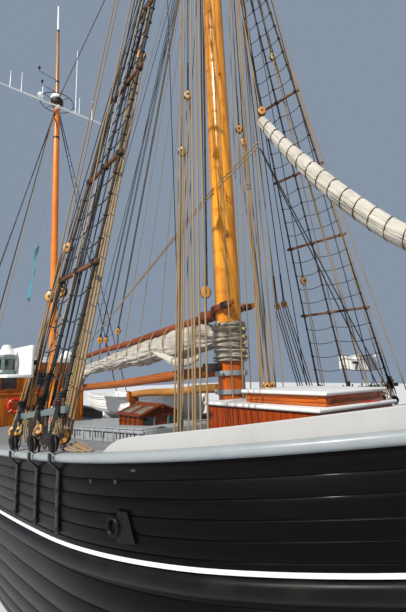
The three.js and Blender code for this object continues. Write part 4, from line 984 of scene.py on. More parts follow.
for sign, side_name in SIDES:
    body = f"skylight_lid_{side_name}"
    hinge = placed((1.1, sign * 0.036, RIDGE - 0.036 * tan(slope) + 0.0006), -sign * slope, "X")

    def on_lid(x, y, z):
        return hinge @ Matrix.Translation((x, sign * y, z))

    frame_boards, lights, bars = meshes(3)
    board(frame_boards, (0.92, 0.07, 0.034), on_lid(0, 0.035, 0.017), 0.006)
    board(frame_boards, (0.92, 0.09, 0.034), on_lid(0, 0.455, 0.017), 0.01)
    for x in (-0.42, 0.0, 0.42):
        board(frame_boards, (0.08, 0.36, 0.034), on_lid(x, 0.24, 0.0165), 0.006)
    for x in (-0.21, 0.21):
        board(lights, (0.345, 0.352, 0.012), on_lid(x, 0.24, 0.014), 0.003)
        for y in even(0.1, 0.38, 0.07):
            rod(bars, [on_lid(x - 0.18, y, 0.036).translation, on_lid(x + 0.18, y, 0.036).translation], 0.005, 6)
    piece(f"skylight_frame_{side_name}", frame_boards, SKY_WOOD, body, replaces=body)
    piece(f"skylight_lights_{side_name}", lights, PALE_PANE, body, "iron")
    piece(f"skylight_bars_{side_name}", bars, BRONZE, body, "bronze")
print("skylight lids lean", round(degrees(slope), 1), "degrees")

# %% [markdown]
# ## The companion ahead of the mast
# Upright staves carry a broad white slab. On it stands a low varnished box with corner posts and a sliding lid. The
# slabs' edges are a full half round, made by a bevel of nearly half their thickness.

# %% Build the companion
FORE_X, FORE_HALF = (3.79, 5.62), 0.85
BOX_X, BOX_HALF = (4.38, 5.54), 0.61
slab, lid = meshes(2)
board(slab, (FORE_X[1] - FORE_X[0], 2 * FORE_HALF, 0.045), (sum(FORE_X) / 2, 0, 2.3575), 0.02, 5)
piece("slab_low", slab, SLAB_WHITE, replaces="fore_slab")
board(lid, (BOX_X[1] - BOX_X[0] + 0.1, 2 * BOX_HALF + 0.12, 0.0425), (sum(BOX_X) / 2, 0, 2.519), 0.019, 5)
piece("slab_high", lid, SLAB_WHITE, "companion_lid", replaces="companion_lid")

dress("fore_coaming", STAVE_WOOD, 0.004)
staves = bmesh.new()
low_x, high_x, edge_y = FORE_X[0] + 0.06, FORE_X[1] - 0.06, FORE_HALF - 0.06
STAVE_TOP, STAVE_WIDE, STAVE_STEP = 2.333, 0.094, 0.096
for sign in (-1, 1):
    for x in even(low_x + 0.045, high_x - 0.045, STAVE_STEP):
        foot = deck_top(x, edge_y) - 0.01
        board(staves, (STAVE_WIDE, 0.018, STAVE_TOP - foot), (x, sign * (edge_y + 0.008), (STAVE_TOP + foot) / 2),
              0.003)
for x, face in ((low_x, -1), (high_x, 1)):
    for y in even(-edge_y + 0.045, edge_y - 0.045, STAVE_STEP):
        foot = deck_top(x, y) - 0.01
        board(staves, (0.018, STAVE_WIDE, STAVE_TOP - foot), (x + face * 0.008, y, (STAVE_TOP + foot) / 2), 0.003)
piece("companion_staves", staves, STAVE_WOOD, slot="red_brown")

dress("companion_box", PANEL_WOOD, 0.004)
corners = bmesh.new()
for x, inward in zip(BOX_X, (1, -1)):
    for sign in (-1, 1):
        board(corners, (0.1, 0.1, 0.112), (x + inward * 0.042, sign * (BOX_HALF - 0.042), 2.437), 0.008)
    board(corners, (0.02, 1.06, 0.045), (x - inward * 0.005, 0, 2.408), 0.006)
for sign in (-1, 1):
    for z, tall in ((2.408, 0.045), (2.478, 0.03)):
        board(corners, (1.0, 0.02, tall), (4.96, sign * (BOX_HALF + 0.005), z), 0.006)
piece("companion_corners", corners, PANEL_WOOD, slot="red_brown")
print("staves:", PIECES["companion_staves"], "faces")

# %% [markdown]
# ## Masts and spars
# Every spar is a rod swept along its own axis, with a radius that changes along it. The main mast leans aft by less
# than two degrees and the mizzen by four. Iron bands, caps and collars are turned on a lathe round the same axis.

# %% Step the masts
def main_at(z):
    return vec(3.5 - tan(radians(1.8)) * (z - 1.7), 0, z)


def mizzen_at(z):
    return vec(-4.38 - tan(radians(4.07)) * (z - 1.4), 0, z)


MAIN_SIZE = table_size([(1.5, 0.212), (2.6, 0.21), (6.0, 0.198), (10.0, 0.176), (14.3, 0.15), (15.5, 0.135)])
MAST_FOOT, MAST_TOP = 1.9, 15.5
mast, top, bands, mizzen, pole, white, black, yard = meshes(8)
rod(mast, [main_at(z) for z in even(MAST_FOOT, MAST_TOP, 0.25)], lambda s: MAIN_SIZE(mix(MAST_FOOT, MAST_TOP, s)), 44)
piece("main_mast_pine", mast, MAST_WOOD, replaces="main_mast")

step = vec(0.3, 0, 0)
rod(top, [main_at(z) + step for z in even(14.25, 20.2, 0.4)], lambda s: mix(0.1, 0.05, s), 24)
lathe(top, [(0, 0.052), (0.03, 0.075), (0.06, 0.05), (0.07, 0.0)], main_at(20.19) + step, UP, 16)
piece("main_topmast_pine", top, MAST_WOOD, replaces="main_topmast")
dress("main_crosstrees", BATTEN_WOOD, 0.012)
dress("main_cap", BLACK_IRON, 0.015)

MAST_LEAN = (main_at(4) - main_at(2)).normalized()
for z, out, tall, turns in ((2.705, 0.25, 0.08, (-1.35, 0.2, 1.35)), (2.425, 0.236, 0.075, (-2.35, 0.75, 2.2))):
    profile = [(0, 0.214), (0, out - 0.006), (0.006, out), (tall - 0.006, out), (tall, out - 0.006), (tall, 0.214)]
    lathe(bands, profile, main_at(z), MAST_LEAN, 40)
    for turn, long in zip(turns, (0.035, 0.035, 0.03)):
        out_way = polar(turn, 1)
        spot = main_at(z + tall / 2) + out_way * (out + long * 0.3)
        board(bands, (long, 0.05, tall * 0.92), placed(spot, turn), 0.006)
        bolt = [(-0.05, 0), (-0.05, 0.012), (0.05, 0.012), (0.05, 0)]
        lathe(bands, bolt, spot + out_way * 0.012, out_way.cross(UP), 8)
piece("mast_bands", bands, GALVANISED, slot="iron")

rod(mizzen, [mizzen_at(z) for z in even(1.15, 12.6, 0.35)], lambda s: mix(0.12, 0.095, s), 30)
piece("mizzen_mast_pine", mizzen, MIZZEN_WOOD, replaces="mizzen_mast")
rod(pole, [mizzen_at(z) for z in even(12.5, 15.55, 0.3)], lambda s: mix(0.07, 0.048, s), 20)
piece("mizzen_topmast", pole, POLE_WOOD, slot="varnish")
rod(white, [mizzen_at(z) for z in even(15.5, 16.68, 0.2)], lambda s: mix(0.04, 0.028, s), 16)
LEAN = (mizzen_at(12) - mizzen_at(10)).normalized()
lathe(white, [(0, 0), (0.0, 0.21), (0.03, 0.225), (0.13, 0.215), (0.16, 0.17), (0.17, 0)], mizzen_at(12.52), LEAN, 24)
dome_at = mizzen_at(12.3) + vec(0.16, -0.62, 0.02)
dome = [(0, 0), (0, 0.1)] + [(0.03 + 0.1 * sin(a), 0.1 * cos(a)) for a in turns_of(5, 0.25)]
lathe(white, dome, dome_at, UP, 18)
piece("mizzen_white", white, STRIPE_WHITE, slot="white_paint")
lathe(black, [(0, 0.1), (0.0, 0.19), (0.05, 0.215), (0.19, 0.215), (0.2, 0.2), (0.2, 0)], mizzen_at(12.33), LEAN, 24)
for z, out in ((15.5, 0.055), (13.25, 0.075), (10.95, 0.108), (12.2, 0.12)):
    lathe(black, [(0, out - 0.02), (0, out), (0.07, out), (0.07, out - 0.02)], mizzen_at(z), LEAN, 18)
hub = mizzen_at(12.42)
rod(black, [hub + polar(a, 0.57) for a in turns_of(32)], 0.014, 6)
for a in (0.4, 1.97, 3.54, 5.1):
    rod(black, [hub, hub + polar(a, 0.57)], 0.01, 6)
for z, reach in ((13.35, -0.66), (12.85, -0.55)):
    arm = [mizzen_at(z) + Vector(p) for p in ((0, 0, 0), (0.05, reach, 0.03), (0.05, reach, 0.16))]
    rod(black, arm, 0.009, 6)
    board(black, (0.07, 0.07, 0.09), arm[-1], 0.012)
piece("mizzen_ironwork", black, BLACK_IRON, slot="iron")

YARD_Z = 12.18
yard_x = mizzen_at(YARD_Z).x + 0.15
rod(yard, [(yard_x, y, YARD_Z) for y in even(-2.05, 2.05, 0.3)], lambda s: 0.031 - 0.016 * abs(2 * s - 1) ** 2, 12)
board(yard, (0.26, 0.11, 0.09), (yard_x - 0.09, 0, YARD_Z), 0.012)
for y, tall in ((-1.6, 0.62), (-1.25, 0.72), (-0.56, 0.56), (0.62, 2.6), (0.76, 0.7), (1.25, 0.8)):
    rod(yard, [(yard_x, y, YARD_Z + tall * k / 6) for k in range(7)], lambda s: mix(0.013, 0.006, s), 6)
    lathe(yard, [(0, 0.0), (0, 0.024), (0.06, 0.024), (0.08, 0.013)], (yard_x, y, YARD_Z + 0.01), UP, 8)
piece("mizzen_aerials", yard, STRIPE_WHITE, replaces="mizzen_yard")
print("masts:", PIECES["main_mast_pine"], PIECES["mizzen_mast_pine"], "faces")


# %% Rig the bowsprit, the boom and the gaff
HEEL_X, SPRIT_LONG = 7.0, 8.3


def sprit_at(x):
    return vec(HEEL_X, 0, 2.96).lerp(vec(15.3, 0, 4.33), (x - HEEL_X) / SPRIT_LONG)


sprit, sprit_iron = meshes(2)
rod(sprit, [sprit_at(x) for x in even(HEEL_X, 15.3, 0.4)], lambda s: mix(0.15, 0.085, s), 26)
board(sprit, (0.18, 0.18, 0.9), (6.94, 0, 2.72), 0.015)
piece("bowsprit_pine", sprit, MAST_WOOD, replaces="bowsprit")
for x in (14.95, 11.5, 9.5):
    r = 0.112 if x > 14 else mix(0.15, 0.085, (x - HEEL_X) / SPRIT_LONG) + 0.008
    band = [(-0.045, r - 0.03), (-0.045, r), (0.045, r), (0.045, r - 0.03)]
    lathe(sprit_iron, band, sprit_at(x), sprit_at(12) - sprit_at(10), 24)
piece("bowsprit_bands", sprit_iron, GALVANISED, slot="iron")

BOOM = (vec(3.19, 0, 2.79), vec(-3.8, 0, 2.3), 0.1, 0.08)
GAFF = (vec(3.18, 0, 3.69), vec(-2.7, 0, 3.17), 0.085, 0.055)


def spar_piece(name, spar, material, body, node, flat):
    """A spar, very slightly bent and hewn, so that its faces catch the light as a worked log's do."""
    fore, aft, r0, r1 = spar
    bm = bmesh.new()
    count = 46
    path = [fore.lerp(aft, k / count) + vec(0, 0.012 * sin(k * 0.31), 0.01 * sin(k * 0.23)) * (k > 0)
            for k in range(count + 1)]

    def size(s):
        return mix(r0, r1, s) * (1 - flat * (0.5 + 0.5 * cos(s * 40)) * 0.3) - 0.012 * max(0, s - 0.985) / 0.015

    rod(bm, path, size, 22)
    piece(name, bm, material, body, replaces=node)


spar_piece("boom_pine", BOOM, SPAR_WOOD, "main_boom", "main_boom", 0.2)
spar_piece("gaff_oiled", GAFF, GAFF_WOOD, "main_boom", "main_gaff", 0.2)
STOWED = (vec(3.28, 0, 2.511), vec(0.35, 0, 2.33), 0.076, 0.07)
spar_piece("stowed_pole", STOWED, POLE_WOOD, "hull", "stowed_spar", 0.15)
dress("spar_crutch", SPAR_WOOD, 0.008)

# %% [markdown]
# ## Jaws
# The boom and the gaff grip the mast with wooden jaws, cased in black leather where they rub. Each jaw is a curved
# cheek: a bevelled board bent round the mast. The gaff's jaws reach past the mast, with bare orange ends.

# %% Shape the jaws
def jaw(bm, z, sign, start, stop, tall, thick=0.075, lift=0.0, inner=0.222):
    """A cheek round one side of the mast, from one turn to another, in degrees from dead astern."""
    def form(s, t):
        corner = round(t * 4) % 4
        r = inner + (thick if corner in (1, 2) else 0.0) * (1 - 0.35 * s)
        rise = (tall / 2 if corner in (2, 3) else -tall / 2) * (1 - 0.25 * s) + lift * s
        return main_at(z) + polar(pi - sign * radians(mix(start, stop, s)), r, rise)

    live = tube_on(bm, 14, 4, form)
    soften(bm, {e for v in live for e in v.link_edges if e.calc_face_angle(0) > 0.6}, 0.01)


jaws, horns, tips, ends = meshes(4)
for sign in (-1, 1):
    jaw(jaws, 2.845, sign, 8, 98, 0.12)
    board(jaws, (0.34, 0.05, 0.13), (3.12, sign * 0.13, 2.84), 0.012)
    jaw(horns, 3.7, sign, 10, 150, 0.11, 0.07, 0.1)
    board(horns, (0.42, 0.06, 0.13), (3.05, sign * 0.12, 3.7), 0.014)
    board(tips, (0.16, 0.075, 0.095), placed((3.63, sign * 0.25, 3.785), -0.1, "Y"), 0.012)
    board(ends, (0.13, 0.06, 0.075), placed((3.755, sign * 0.255, 3.8), -0.1, "Y"), 0.012)
piece("boom_jaws", jaws, LEATHER, "main_boom", "iron")
for name, part, stuff in (("gaff_jaws", horns, GAFF_WOOD), ("gaff_jaw_leather", tips, LEATHER),
                          ("gaff_jaw_ends", ends, SPAR_WOOD)):
    piece(name, part, stuff, "main_boom", "oiled_wood")
print("spars and jaws done")

# %% [markdown]
# ## Furled canvas
# A furled sail is a heap of folds. Its outline swells between the gaskets that tie it and is pinched at each of them,
# and the cloth hangs in long creases that run with the spar. The bundle is one closed sheet rolled round the heap,
# with every point pushed in or out by noise that is stretched along the sail, so that creases run the right way.

# %% Furl the mainsail under its gaff
BUNDLE = [(3.12, 3.31, 0.19, 0.15), (2.86, 3.33, 0.245, 0.185), (2.3, 3.29, 0.27, 0.225), (1.4, 3.21, 0.245, 0.215),
          (0.4, 3.11, 0.21, 0.195), (-0.6, 3.01, 0.175, 0.175), (-1.6, 2.92, 0.135, 0.145), (-2.3, 2.86, 0.08, 0.1)]
GASKETS = [2.72, 2.3, 1.85, 1.38, 0.92, 0.44, -0.05, -0.52, -1.0, -1.45, -1.9]
bundle_sizes = [table_size([(row[0], row[k]) for row in reversed(BUNDLE)]) for k in (1, 2, 3)]


def bundle_at(x):
    """The middle's height, half the height and half the width of the bundle at a place along it."""
    return [size(x) for size in bundle_sizes]


def ripple(x, a, size):
    """Noise on a tube: x along it, a turn a round it, and a size that says how often it changes round the tube."""
    return noise.noise(vec(x, cos(a) * size, sin(a) * size))


def crease(x, a, fine=1.0):
    """How far the cloth stands in or out at a place along the sail and a turn round it, in metres."""
    folds = ripple(x * 1.7 + 0.25 * sin(x * 3), a, 4.2)
    sharp = 1 - 2 * abs(ripple(x * 2.6 + 9, a, 6.5))
    return fine * (0.03 * ripple(x * 1.17, a, 1.69) + 0.04 * folds + 0.026 * sharp + 0.007 * ripple(x * 9.0, a, 13))


def bundle_point(s, t):
    x = mix(3.12, -2.3, s)
    a = tau * t
    z, high, wide = bundle_at(x)
    pinch = sum(exp(-((x - g) / 0.045) ** 2) for g in GASKETS)
    swell = 1 - 0.13 * pinch
    end = min(1.0, sin(pi * min(1, max(0, s * 12)) / 2) + 0.55) * min(1.0, (1 - s) * 14 + 0.35)
    d = crease(x, a, 0.85 * (1 - 0.6 * pinch)) * min(1, high / 0.18)
    under = 1 - 0.1 * max(0.0, -sin(a))
    y = (wide * swell * end * 0.93 + d) * cos(a)
    rise = (high * swell * end * 0.95 * under + d) * sin(a)
    sag = 0.02 * sin(x * 5.0) * (1 - pinch)
    return vec(x, y, z + rise + sag * (sin(a) < 0))


def closed_roll(name, columns, rows, form, uv, material, body="main_boom", replaces=()):
    """A sheet rolled into a closed tube, its seam welded and its ends closed."""
    bm = bmesh.new()
    tube_on(bm, columns, rows, form, lambda s, t: (uv[0] * s, uv[1] * t))
    piece(name, bm, material, body, "canvas", replaces)


closed_roll("mainsail_bundle", 330, 72, bundle_point, (5.4, 1.3), CANVAS, replaces="furled_mainsail")

# %% [markdown]
# Three loose parts hang from the bundle: the clew and a ragged corner of cloth at the aft end, and a bight of the
# sail's foot that droops beside the mast.

# %% Hang the loose cloth
def droop(name, path, sizes, seed, fine, squash, rows, uv, material=CANVAS):
    """A flattened, crumpled roll of loose cloth along a path."""
    path = smooth_path(path, 12)
    frames = frames_along(path)
    last = len(path) - 1
    size = table_size(sizes)

    def form(s, t):
        k = min(round(s * last), last)
        a = tau * t
        side, other = frames[k]
        x = s * 5 + seed
        r = 0.55 * ripple(x, a, 2.2) + 0.35 * (1 - 2 * abs(ripple(x * 2.3, a, 5.06))) - 0.1
        r = size(s) * (1 + fine * r)
        return path[k] + side * cos(a) * r + other * sin(a) * r * squash

    closed_roll(name, last, rows, form, uv, material)


SIZES = [(0, 0.05), (0.12, 0.12), (0.4, 0.15), (0.7, 0.11), (0.9, 0.075), (1, 0.02)]
CLEW = [(-1.35, -0.03, 2.9), (-1.75, -0.05, 2.84), (-2.05, -0.04, 2.74), (-2.22, -0.02, 2.6), (-2.3, 0, 2.47)]
droop("mainsail_clew", CLEW, SIZES, 3.0, 0.9, 0.55, 40, (1.2, 0.8))
CORNER = [(-1.62, -0.1, 2.86), (-1.82, -0.13, 2.74), (-1.92, -0.12, 2.6), (-1.98, -0.1, 2.5)]
droop("mainsail_corner", CORNER, SIZES, 8.0, 1.0, 0.35, 32, (0.5, 0.5))
BIGHT = [(1.55, -0.2, 3.16), (1.95, -0.24, 3.06), (2.35, -0.26, 2.96), (2.72, -0.27, 2.93), (3.0, -0.26, 3.02)]
BIGHT_SIZES = [(0, 0.02), (0.2, 0.05), (0.55, 0.075), (0.85, 0.06), (1, 0.03)]
droop("mainsail_bight", BIGHT, BIGHT_SIZES, 5.0, 0.35, 0.8, 26, (1.7, 0.4), STAY_CANVAS)

# %% [markdown]
# The luff lies heaped round the mast like a stack of rings: flattened bands of folded canvas with the bolt rope
# between them. Each turn is a rod bent round the mast, with its own tilt, its own swell and its own end.

# %% Heap the luff round the mast
heap, ropes = meshes(2)
TURNS = 15
for n in range(TURNS):
    z = 2.945 + 0.575 * n / (TURNS - 1)
    tilt = 0.022 * sin(n * 2.1)
    r0 = 0.252 + 0.016 * sin(n * 1.7)
    ring = []
    for a in turns_of(48):
        wave = 0.018 * noise.noise(polar(a, 1.6, n * 3.7))
        r = r0 + wave + 0.01 * noise.noise(polar(a, 6, n * 1.3))
        ring.append(main_at(z) + polar(a, r, tilt * cos(a + n) + wave * 0.7))
    thick = 0.017 + 0.005 * sin(n * 3.3)
    if n % 3 == 1:
        rod(ropes, ring, 0.014, 8, close=False)
    else:
        rod(heap, ring, lambda s, thick=thick, n=n: thick * (1 + 0.35 * sin(s * 31 + n * 2)), 10, close=False)
sleeve = [(k * 0.02, 0.236 + 0.008 * sin(k * 1.9)) for k in range(31)]
lathe(heap, [(0, 0.222)] + sleeve + [(0.6, 0.222)], main_at(2.925), MAST_LEAN, 40)
# The folds take the darker canvas copy, which paints their shade.
heaped = piece("luff_folds", heap, LUFF_CANVAS_SHADED, "main_boom", replaces="luff_hoops")
piece("luff_rope", ropes, GREY_ROPE, "main_boom", "canvas")
beads = bmesh.new()
for turn, z in ((0.15, 3.42), (0.1, 3.3), (0.2, 3.2), (0.05, 3.09), (0.3, 3.0), (-1.35, 3.52), (-1.0, 3.5),
                (-1.2, 3.44)):
    profile = [(-0.024, 0)] + [(0.024 * sin(a), 0.024 * cos(a)) for a in (-1, -0.5, 0, 0.5, 1)] + [(0.024, 0)]
    lathe(beads, profile, main_at(z) + polar(turn, 0.285), UP, 10)
piece("luff_beads", beads, PALE_BLOCK, "main_boom", "varnish")
print("furled mainsail:", PIECES["mainsail_bundle"], "faces;", TURNS, "turns round the mast")

# %% [markdown]
# Gaskets are the short lines that tie the sail. Each goes right round gaff and canvas in one oval turn, drawn in so
# that the cloth swells on both sides of it.

# %% Tie the gaskets
gaskets = bmesh.new()
for g in GASKETS:
    z, high, wide = bundle_at(g)
    gaff_z = mix(3.69, 3.17, (3.18 - g) / 5.88) + 0.075
    low_z = z - high * 0.86
    middle, half = (gaff_z + low_z) / 2, (gaff_z - low_z) / 2
    for shift in (0.0, 0.022):
        loop = []
        for a in turns_of(24):
            w = wide * 0.88 * (0.55 + 0.45 * (1 - max(0, sin(a)) ** 2))
            loop.append((g + shift + 0.02 * sin(a + g), w * cos(a) * 1.03, middle + half * sin(a)))
        rod(gaskets, loop, 0.0065, 6, close=False)
piece("mainsail_gaskets", gaskets, MANILA, "main_boom", "canvas")

# %% [markdown]
# ## The furled staysail
# The staysail hangs in a long curve from the fore side of the mast down to the bowsprit. It is rolled tight, with a
# dark line spiralling round it and another laid along it.

# %% Roll the staysail
STAYSAIL = [(4.33, 6.6, 0.07), (4.6, 6.18, 0.088), (4.9, 5.76, 0.1), (5.48, 5.01, 0.115), (6.27, 4.18, 0.122),
            (7.3, 3.56, 0.115), (8.35, 3.395, 0.085)]
stay_path = smooth_path([(x, 0, z) for x, z, _ in STAYSAIL], 30)
stay_frames = frames_along(stay_path)
stay_size = table_size([(k / (len(STAYSAIL) - 1), row[2]) for k, row in enumerate(STAYSAIL)])
stay_last = len(stay_path) - 1
stay_far = lengths_along(stay_path)
PITCH_ROUND = 0.245


def staysail_point(s, t):
    k = min(round(s * stay_last), stay_last)
    a = tau * t
    spiral = ((stay_far[k] / PITCH_ROUND) - t) % 1.0
    pinch = exp(-((min(spiral, 1 - spiral)) / 0.07) ** 2)
    r = stay_size(s) * (1.0 - 0.06 * pinch + 0.05 * ripple(stay_far[k] * 2.2, a, 1.8))
    r *= 1 - 0.55 * max(0, s - 0.97) / 0.03
    return stay_path[k] + across(stay_frames[k], a) * (r + 0.01 * (1 - 2 * abs(ripple(stay_far[k] * 1.1, a, 4))))


closed_roll("staysail_roll", stay_last, 56, staysail_point, (stay_far[-1], 0.75), STAY_CANVAS, "hull",
            ("furled_staysail",))
lashing = bmesh.new()
spiral = []
for k in range(stay_last * 4 + 1):
    s = k / (stay_last * 4)
    at = min(int(s * stay_last), stay_last - 1)
    share = s * stay_last - at
    a = tau * mix(stay_far[at], stay_far[at + 1], share) / PITCH_ROUND
    r = stay_size(s) * 0.965 + 0.008
    spiral.append(stay_path[at].lerp(stay_path[at + 1], share) + across(stay_frames[at], a) * r)
rod(lashing, spiral[8:-8], 0.0075, 6)
for turn in (2.2, -0.6):
    line = [stay_path[k] + across(stay_frames[k], turn) * (stay_size(k / stay_last) + 0.004)
            for k in range(2, stay_last - 3)]
    rod(lashing, line, 0.004, 5)
piece("staysail_lashing", lashing, BROWN_ROPE, slot="canvas")
print("staysail:", round(stay_far[-1], 2), "m long,", PIECES["staysail_roll"], "faces")

# %% [markdown]
# ## The ship's boat
# A clinker boat has planks that overlap like slates. Each plank's lower edge stands proud of the one below, and the
# small steps run the whole length as crisp lines. The hull is one sheet that goes up one side, over the thickness of
# the planks and down inside, and its outer face is pushed out in a saw-tooth, one tooth for each plank.

# %% Plank the boat
BOAT_Y = 1.56
STATIONS = [(0.9, 0.04, 2.32, 1.9), (0.5, 0.33, 2.27, 1.66), (-0.1, 0.56, 2.215, 1.6), (-1.1, 0.72, 2.165, 1.57),
            (-2.3, 0.76, 2.13, 1.56), (-3.4, 0.68, 2.13, 1.57), (-4.3, 0.48, 2.16, 1.62)]
ROUND = [(0, 0), (0.42, 0.08), (0.8, 0.3), (0.95, 0.62), (1, 1)]
boat_rows = smooth_path([vec(x, half, gunwale) for x, half, gunwale, _ in STATIONS], 12)
boat_keels = smooth_path([vec(x, 0, keel) for x, _, _, keel in STATIONS], 12)
round_path = smooth_path([vec(w, t, 0) for w, t in ROUND], 12)
PLANKS, LAP, SKIN = 10, 0.011, 0.022


def boat_at(s, u, inset=0.0):
    """A point of the boat's port side: s from bow to stern, u from keel to gunwale, drawn in by inset."""
    n = s * (len(boat_rows) - 1)
    k = min(int(n), len(boat_rows) - 2)
    row = boat_rows[k].lerp(boat_rows[k + 1], n - k)
    keel = boat_keels[k].lerp(boat_keels[k + 1], n - k).z + inset * 1.2
    m = u * (len(round_path) - 1)
    j = min(int(m), len(round_path) - 2)
    w, t, _ = round_path[j].lerp(round_path[j + 1], m - j)
    half = max(0.008, row.y - inset)
    return vec(row.x, half * w, mix(keel, row.z, t))


def boat_hull(bm):
    outer = []
    for n in range(PLANKS):
        outer += [(n / PLANKS + 0.0005, 0), (n / PLANKS + 0.002, LAP), ((n + 0.97) / PLANKS, 0.002)]
    outer = [(0.0, 0.0), *outer[2:], (1.0, 0.004)]
    half_ring = [(u, -o) for u, o in outer] + [(u, SKIN) for u in (1.0, 0.7, 0.4, 0.15, 0.0)]
    count = len(half_ring) - 1

    def form(s, t):
        s2 = 0.012 + s * 0.988
        k = round(t * 2 * count)
        sign = 1 if k <= count else -1
        u, inset = half_ring[k if k <= count else 2 * count - k]
        p = boat_at(s2, u, inset)
        return vec(p.x, BOAT_Y + sign * (p.y if u > 0 else 0), p.z)

    tube_on(bm, 66, 2 * count, form, dist=1e-4)


boat, trim, seats = meshes(3)
boat_hull(boat)
piece("boat_planking", boat, BOAT_WHITE, replaces="ships_boat")
steps = [k / 40 for k in range(41)]
for sign in (-1, 1):
    top = [boat_at(0.02 + s * 0.975, 1.0) for s in steps]
    for lift, out, size in ((0.004, 0.012, 0.026), (-0.055, 0.01, 0.014)):
        line = [vec(p.x, BOAT_Y + sign * (p.y + out), p.z + lift) for p in top]
        rod(trim, line, size, 8)
stem = [(0.3, 1.6), (0.52, 1.66), (0.72, 1.79), (0.84, 1.95), (0.905, 2.13), (0.93, 2.36)]
rod(trim, smooth_path([vec(x, BOAT_Y, z) for x, z in stem], 5), 0.03, 10)
board(trim, (4.55, 0.05, 0.09), (-1.95, BOAT_Y, 1.585), 0.008)
transom = [boat_at(0.985, 1 - k / 12) for k in range(13)]
outline = [(p.x, BOAT_Y + p.y, p.z) for p in transom] + [(p.x, BOAT_Y - p.y, p.z) for p in reversed(transom[:-1])]
thicken(trim, outline, (0.035, 0, 0))
piece("boat_trim", trim, BOAT_WHITE, slot="white_paint")
for x in (-0.2, -1.5, -2.9):
    s = next(k / 200 for k in range(200) if boat_at(k / 200, 1).x <= x)
    half = boat_at(s, 0.85).y - 0.03
    board(seats, (0.22, 2 * half, 0.03), (x, BOAT_Y, 2.025), 0.006)
for x in even(0.3, -4.1, -0.4):
    s = next((k / 200 for k in range(200) if boat_at(k / 200, 1).x <= x), 0.99)
    for sign in (-1, 1):
        rib = [boat_at(s, u, 0.032) for u in (0.12, 0.3, 0.5, 0.7, 0.85, 0.97)]
        rod(seats, [vec(p.x, BOAT_Y + sign * p.y, p.z) for p in rib], 0.013, 6)
piece("boat_thwarts", seats, SPAR_WOOD, slot="varnish")
for node in ("boat_chock_fore", "boat_chock_aft"):
    dress(node, BOAT_WHITE, 0.008)
print("boat:", PLANKS, "planks a side,", PIECES["boat_planking"], "faces")

# %% [markdown]
# ## The wheelhouse
# The wheelhouse stands abaft the mizzen: varnished walls with big windows, a white cambered roof and a varnished
# moulding under its edge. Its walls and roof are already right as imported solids, so bevelled copies of them stand
# for them. Frames, panes, corner posts and mouldings are boards set against the walls.

# %% Build the house
HOUSE_X, HOUSE_HALF, HOUSE_MIDDLE, ROOF_HIGH = (-8.25, -5.5), 1.43, -6.875, 3.205
SILL, HEADER, PANE_HALF, PROUD = 2.33, 2.88, 0.25, 0.012
dress("wheelhouse_walls", HOUSE_WOOD, 0.006)
dress("wheelhouse_roof", SLAB_WHITE, 0.025, angle=20)
frames, panes, trims, edge, cowl, pane, rails, knob = meshes(8)


def window(middle, turn):
    """A frame of boards round a pane, on a wall whose outward direction is turned by that angle."""
    place = placed(middle, turn)
    w, h, bar = PANE_HALF, (HEADER - SILL) / 2, 0.06
    wood = [(PROUD, 0, h + bar / 2, (0.03, 2 * w + 2 * bar, bar), 0.007),
            (PROUD, 0, -h - bar / 2, (0.045, 2 * w + 2.6 * bar, bar), 0.007)]
    for side in (-1, 1):
        wood += [(PROUD, side * (w + bar / 2), 0, (0.03, bar, 2 * h), 0.007),
                 (-0.02, side * (w - 0.018), 0, (0.03, 0.036, 2 * h), 0.004),
                 (-0.02, 0, side * (h - 0.018), (0.03, 2 * w - 0.06, 0.036), 0.004)]
    for x, y, z, size, bevel in wood:
        board(frames, size, place @ Matrix.Translation((x, y, z)), bevel)
    board(panes, (0.008, 2 * w, 2 * h), place @ Matrix.Translation((-0.022, 0, 0)), 0.0)


GLASS_Z = (SILL + HEADER) / 2
for y in (-0.96, 0, 0.96):
    window((HOUSE_X[1], y, GLASS_Z), 0)
for y in (-0.7, 0.7):
    window((HOUSE_X[0], y, GLASS_Z), pi)
for x in (-7.75, HOUSE_MIDDLE, -6.0):
    window((x, -HOUSE_HALF, GLASS_Z), -pi / 2)
    if x > -7:
        window((x, HOUSE_HALF, GLASS_Z), pi / 2)
for sx, x in ((-1, HOUSE_X[0]), (1, HOUSE_X[1])):
    for sy in (-1, 1):
        board(trims, (0.09, 0.09, 1.7), (x - sx * 0.025, sy * (HOUSE_HALF - 0.025), 2.26), 0.018)
for z, tall, thick in ((3.09, 0.1, 0.035), (2.215, 0.045, 0.03)):
    for x in (HOUSE_X[1] + thick / 2, HOUSE_X[0] - thick / 2):
        board(trims, (thick, 2 * HOUSE_HALF + 0.07, tall), (x, 0, z), 0.009)
    board(trims, (2.75, thick, tall), (HOUSE_MIDDLE, -HOUSE_HALF - thick / 2, z), 0.009)
    if z > 3:
        board(trims, (2.75, thick, 0.06), (HOUSE_MIDDLE, HOUSE_HALF + thick / 2, 3.125), 0.009)
    else:
        board(trims, (1.8, thick, tall), (-6.4, HOUSE_HALF + thick / 2, z), 0.009)
piece("house_frames", frames, SPAR_WOOD, slot="varnish")
piece("house_panes", panes, GLASS, slot="iron")
piece("house_mouldings", trims, HOUSE_WOOD, slot="varnish")
for y in (-1.545, 1.545):
    board(edge, (2.97, 0.02, 0.075), (HOUSE_MIDDLE, y, ROOF_HIGH), 0.008)
for x in (-8.365, -5.385):
    board(edge, (0.02, 3.08, 0.075), (x, 0, ROOF_HIGH), 0.008)
piece("roof_edge", edge, STRIPE_WHITE, slot="white_paint")

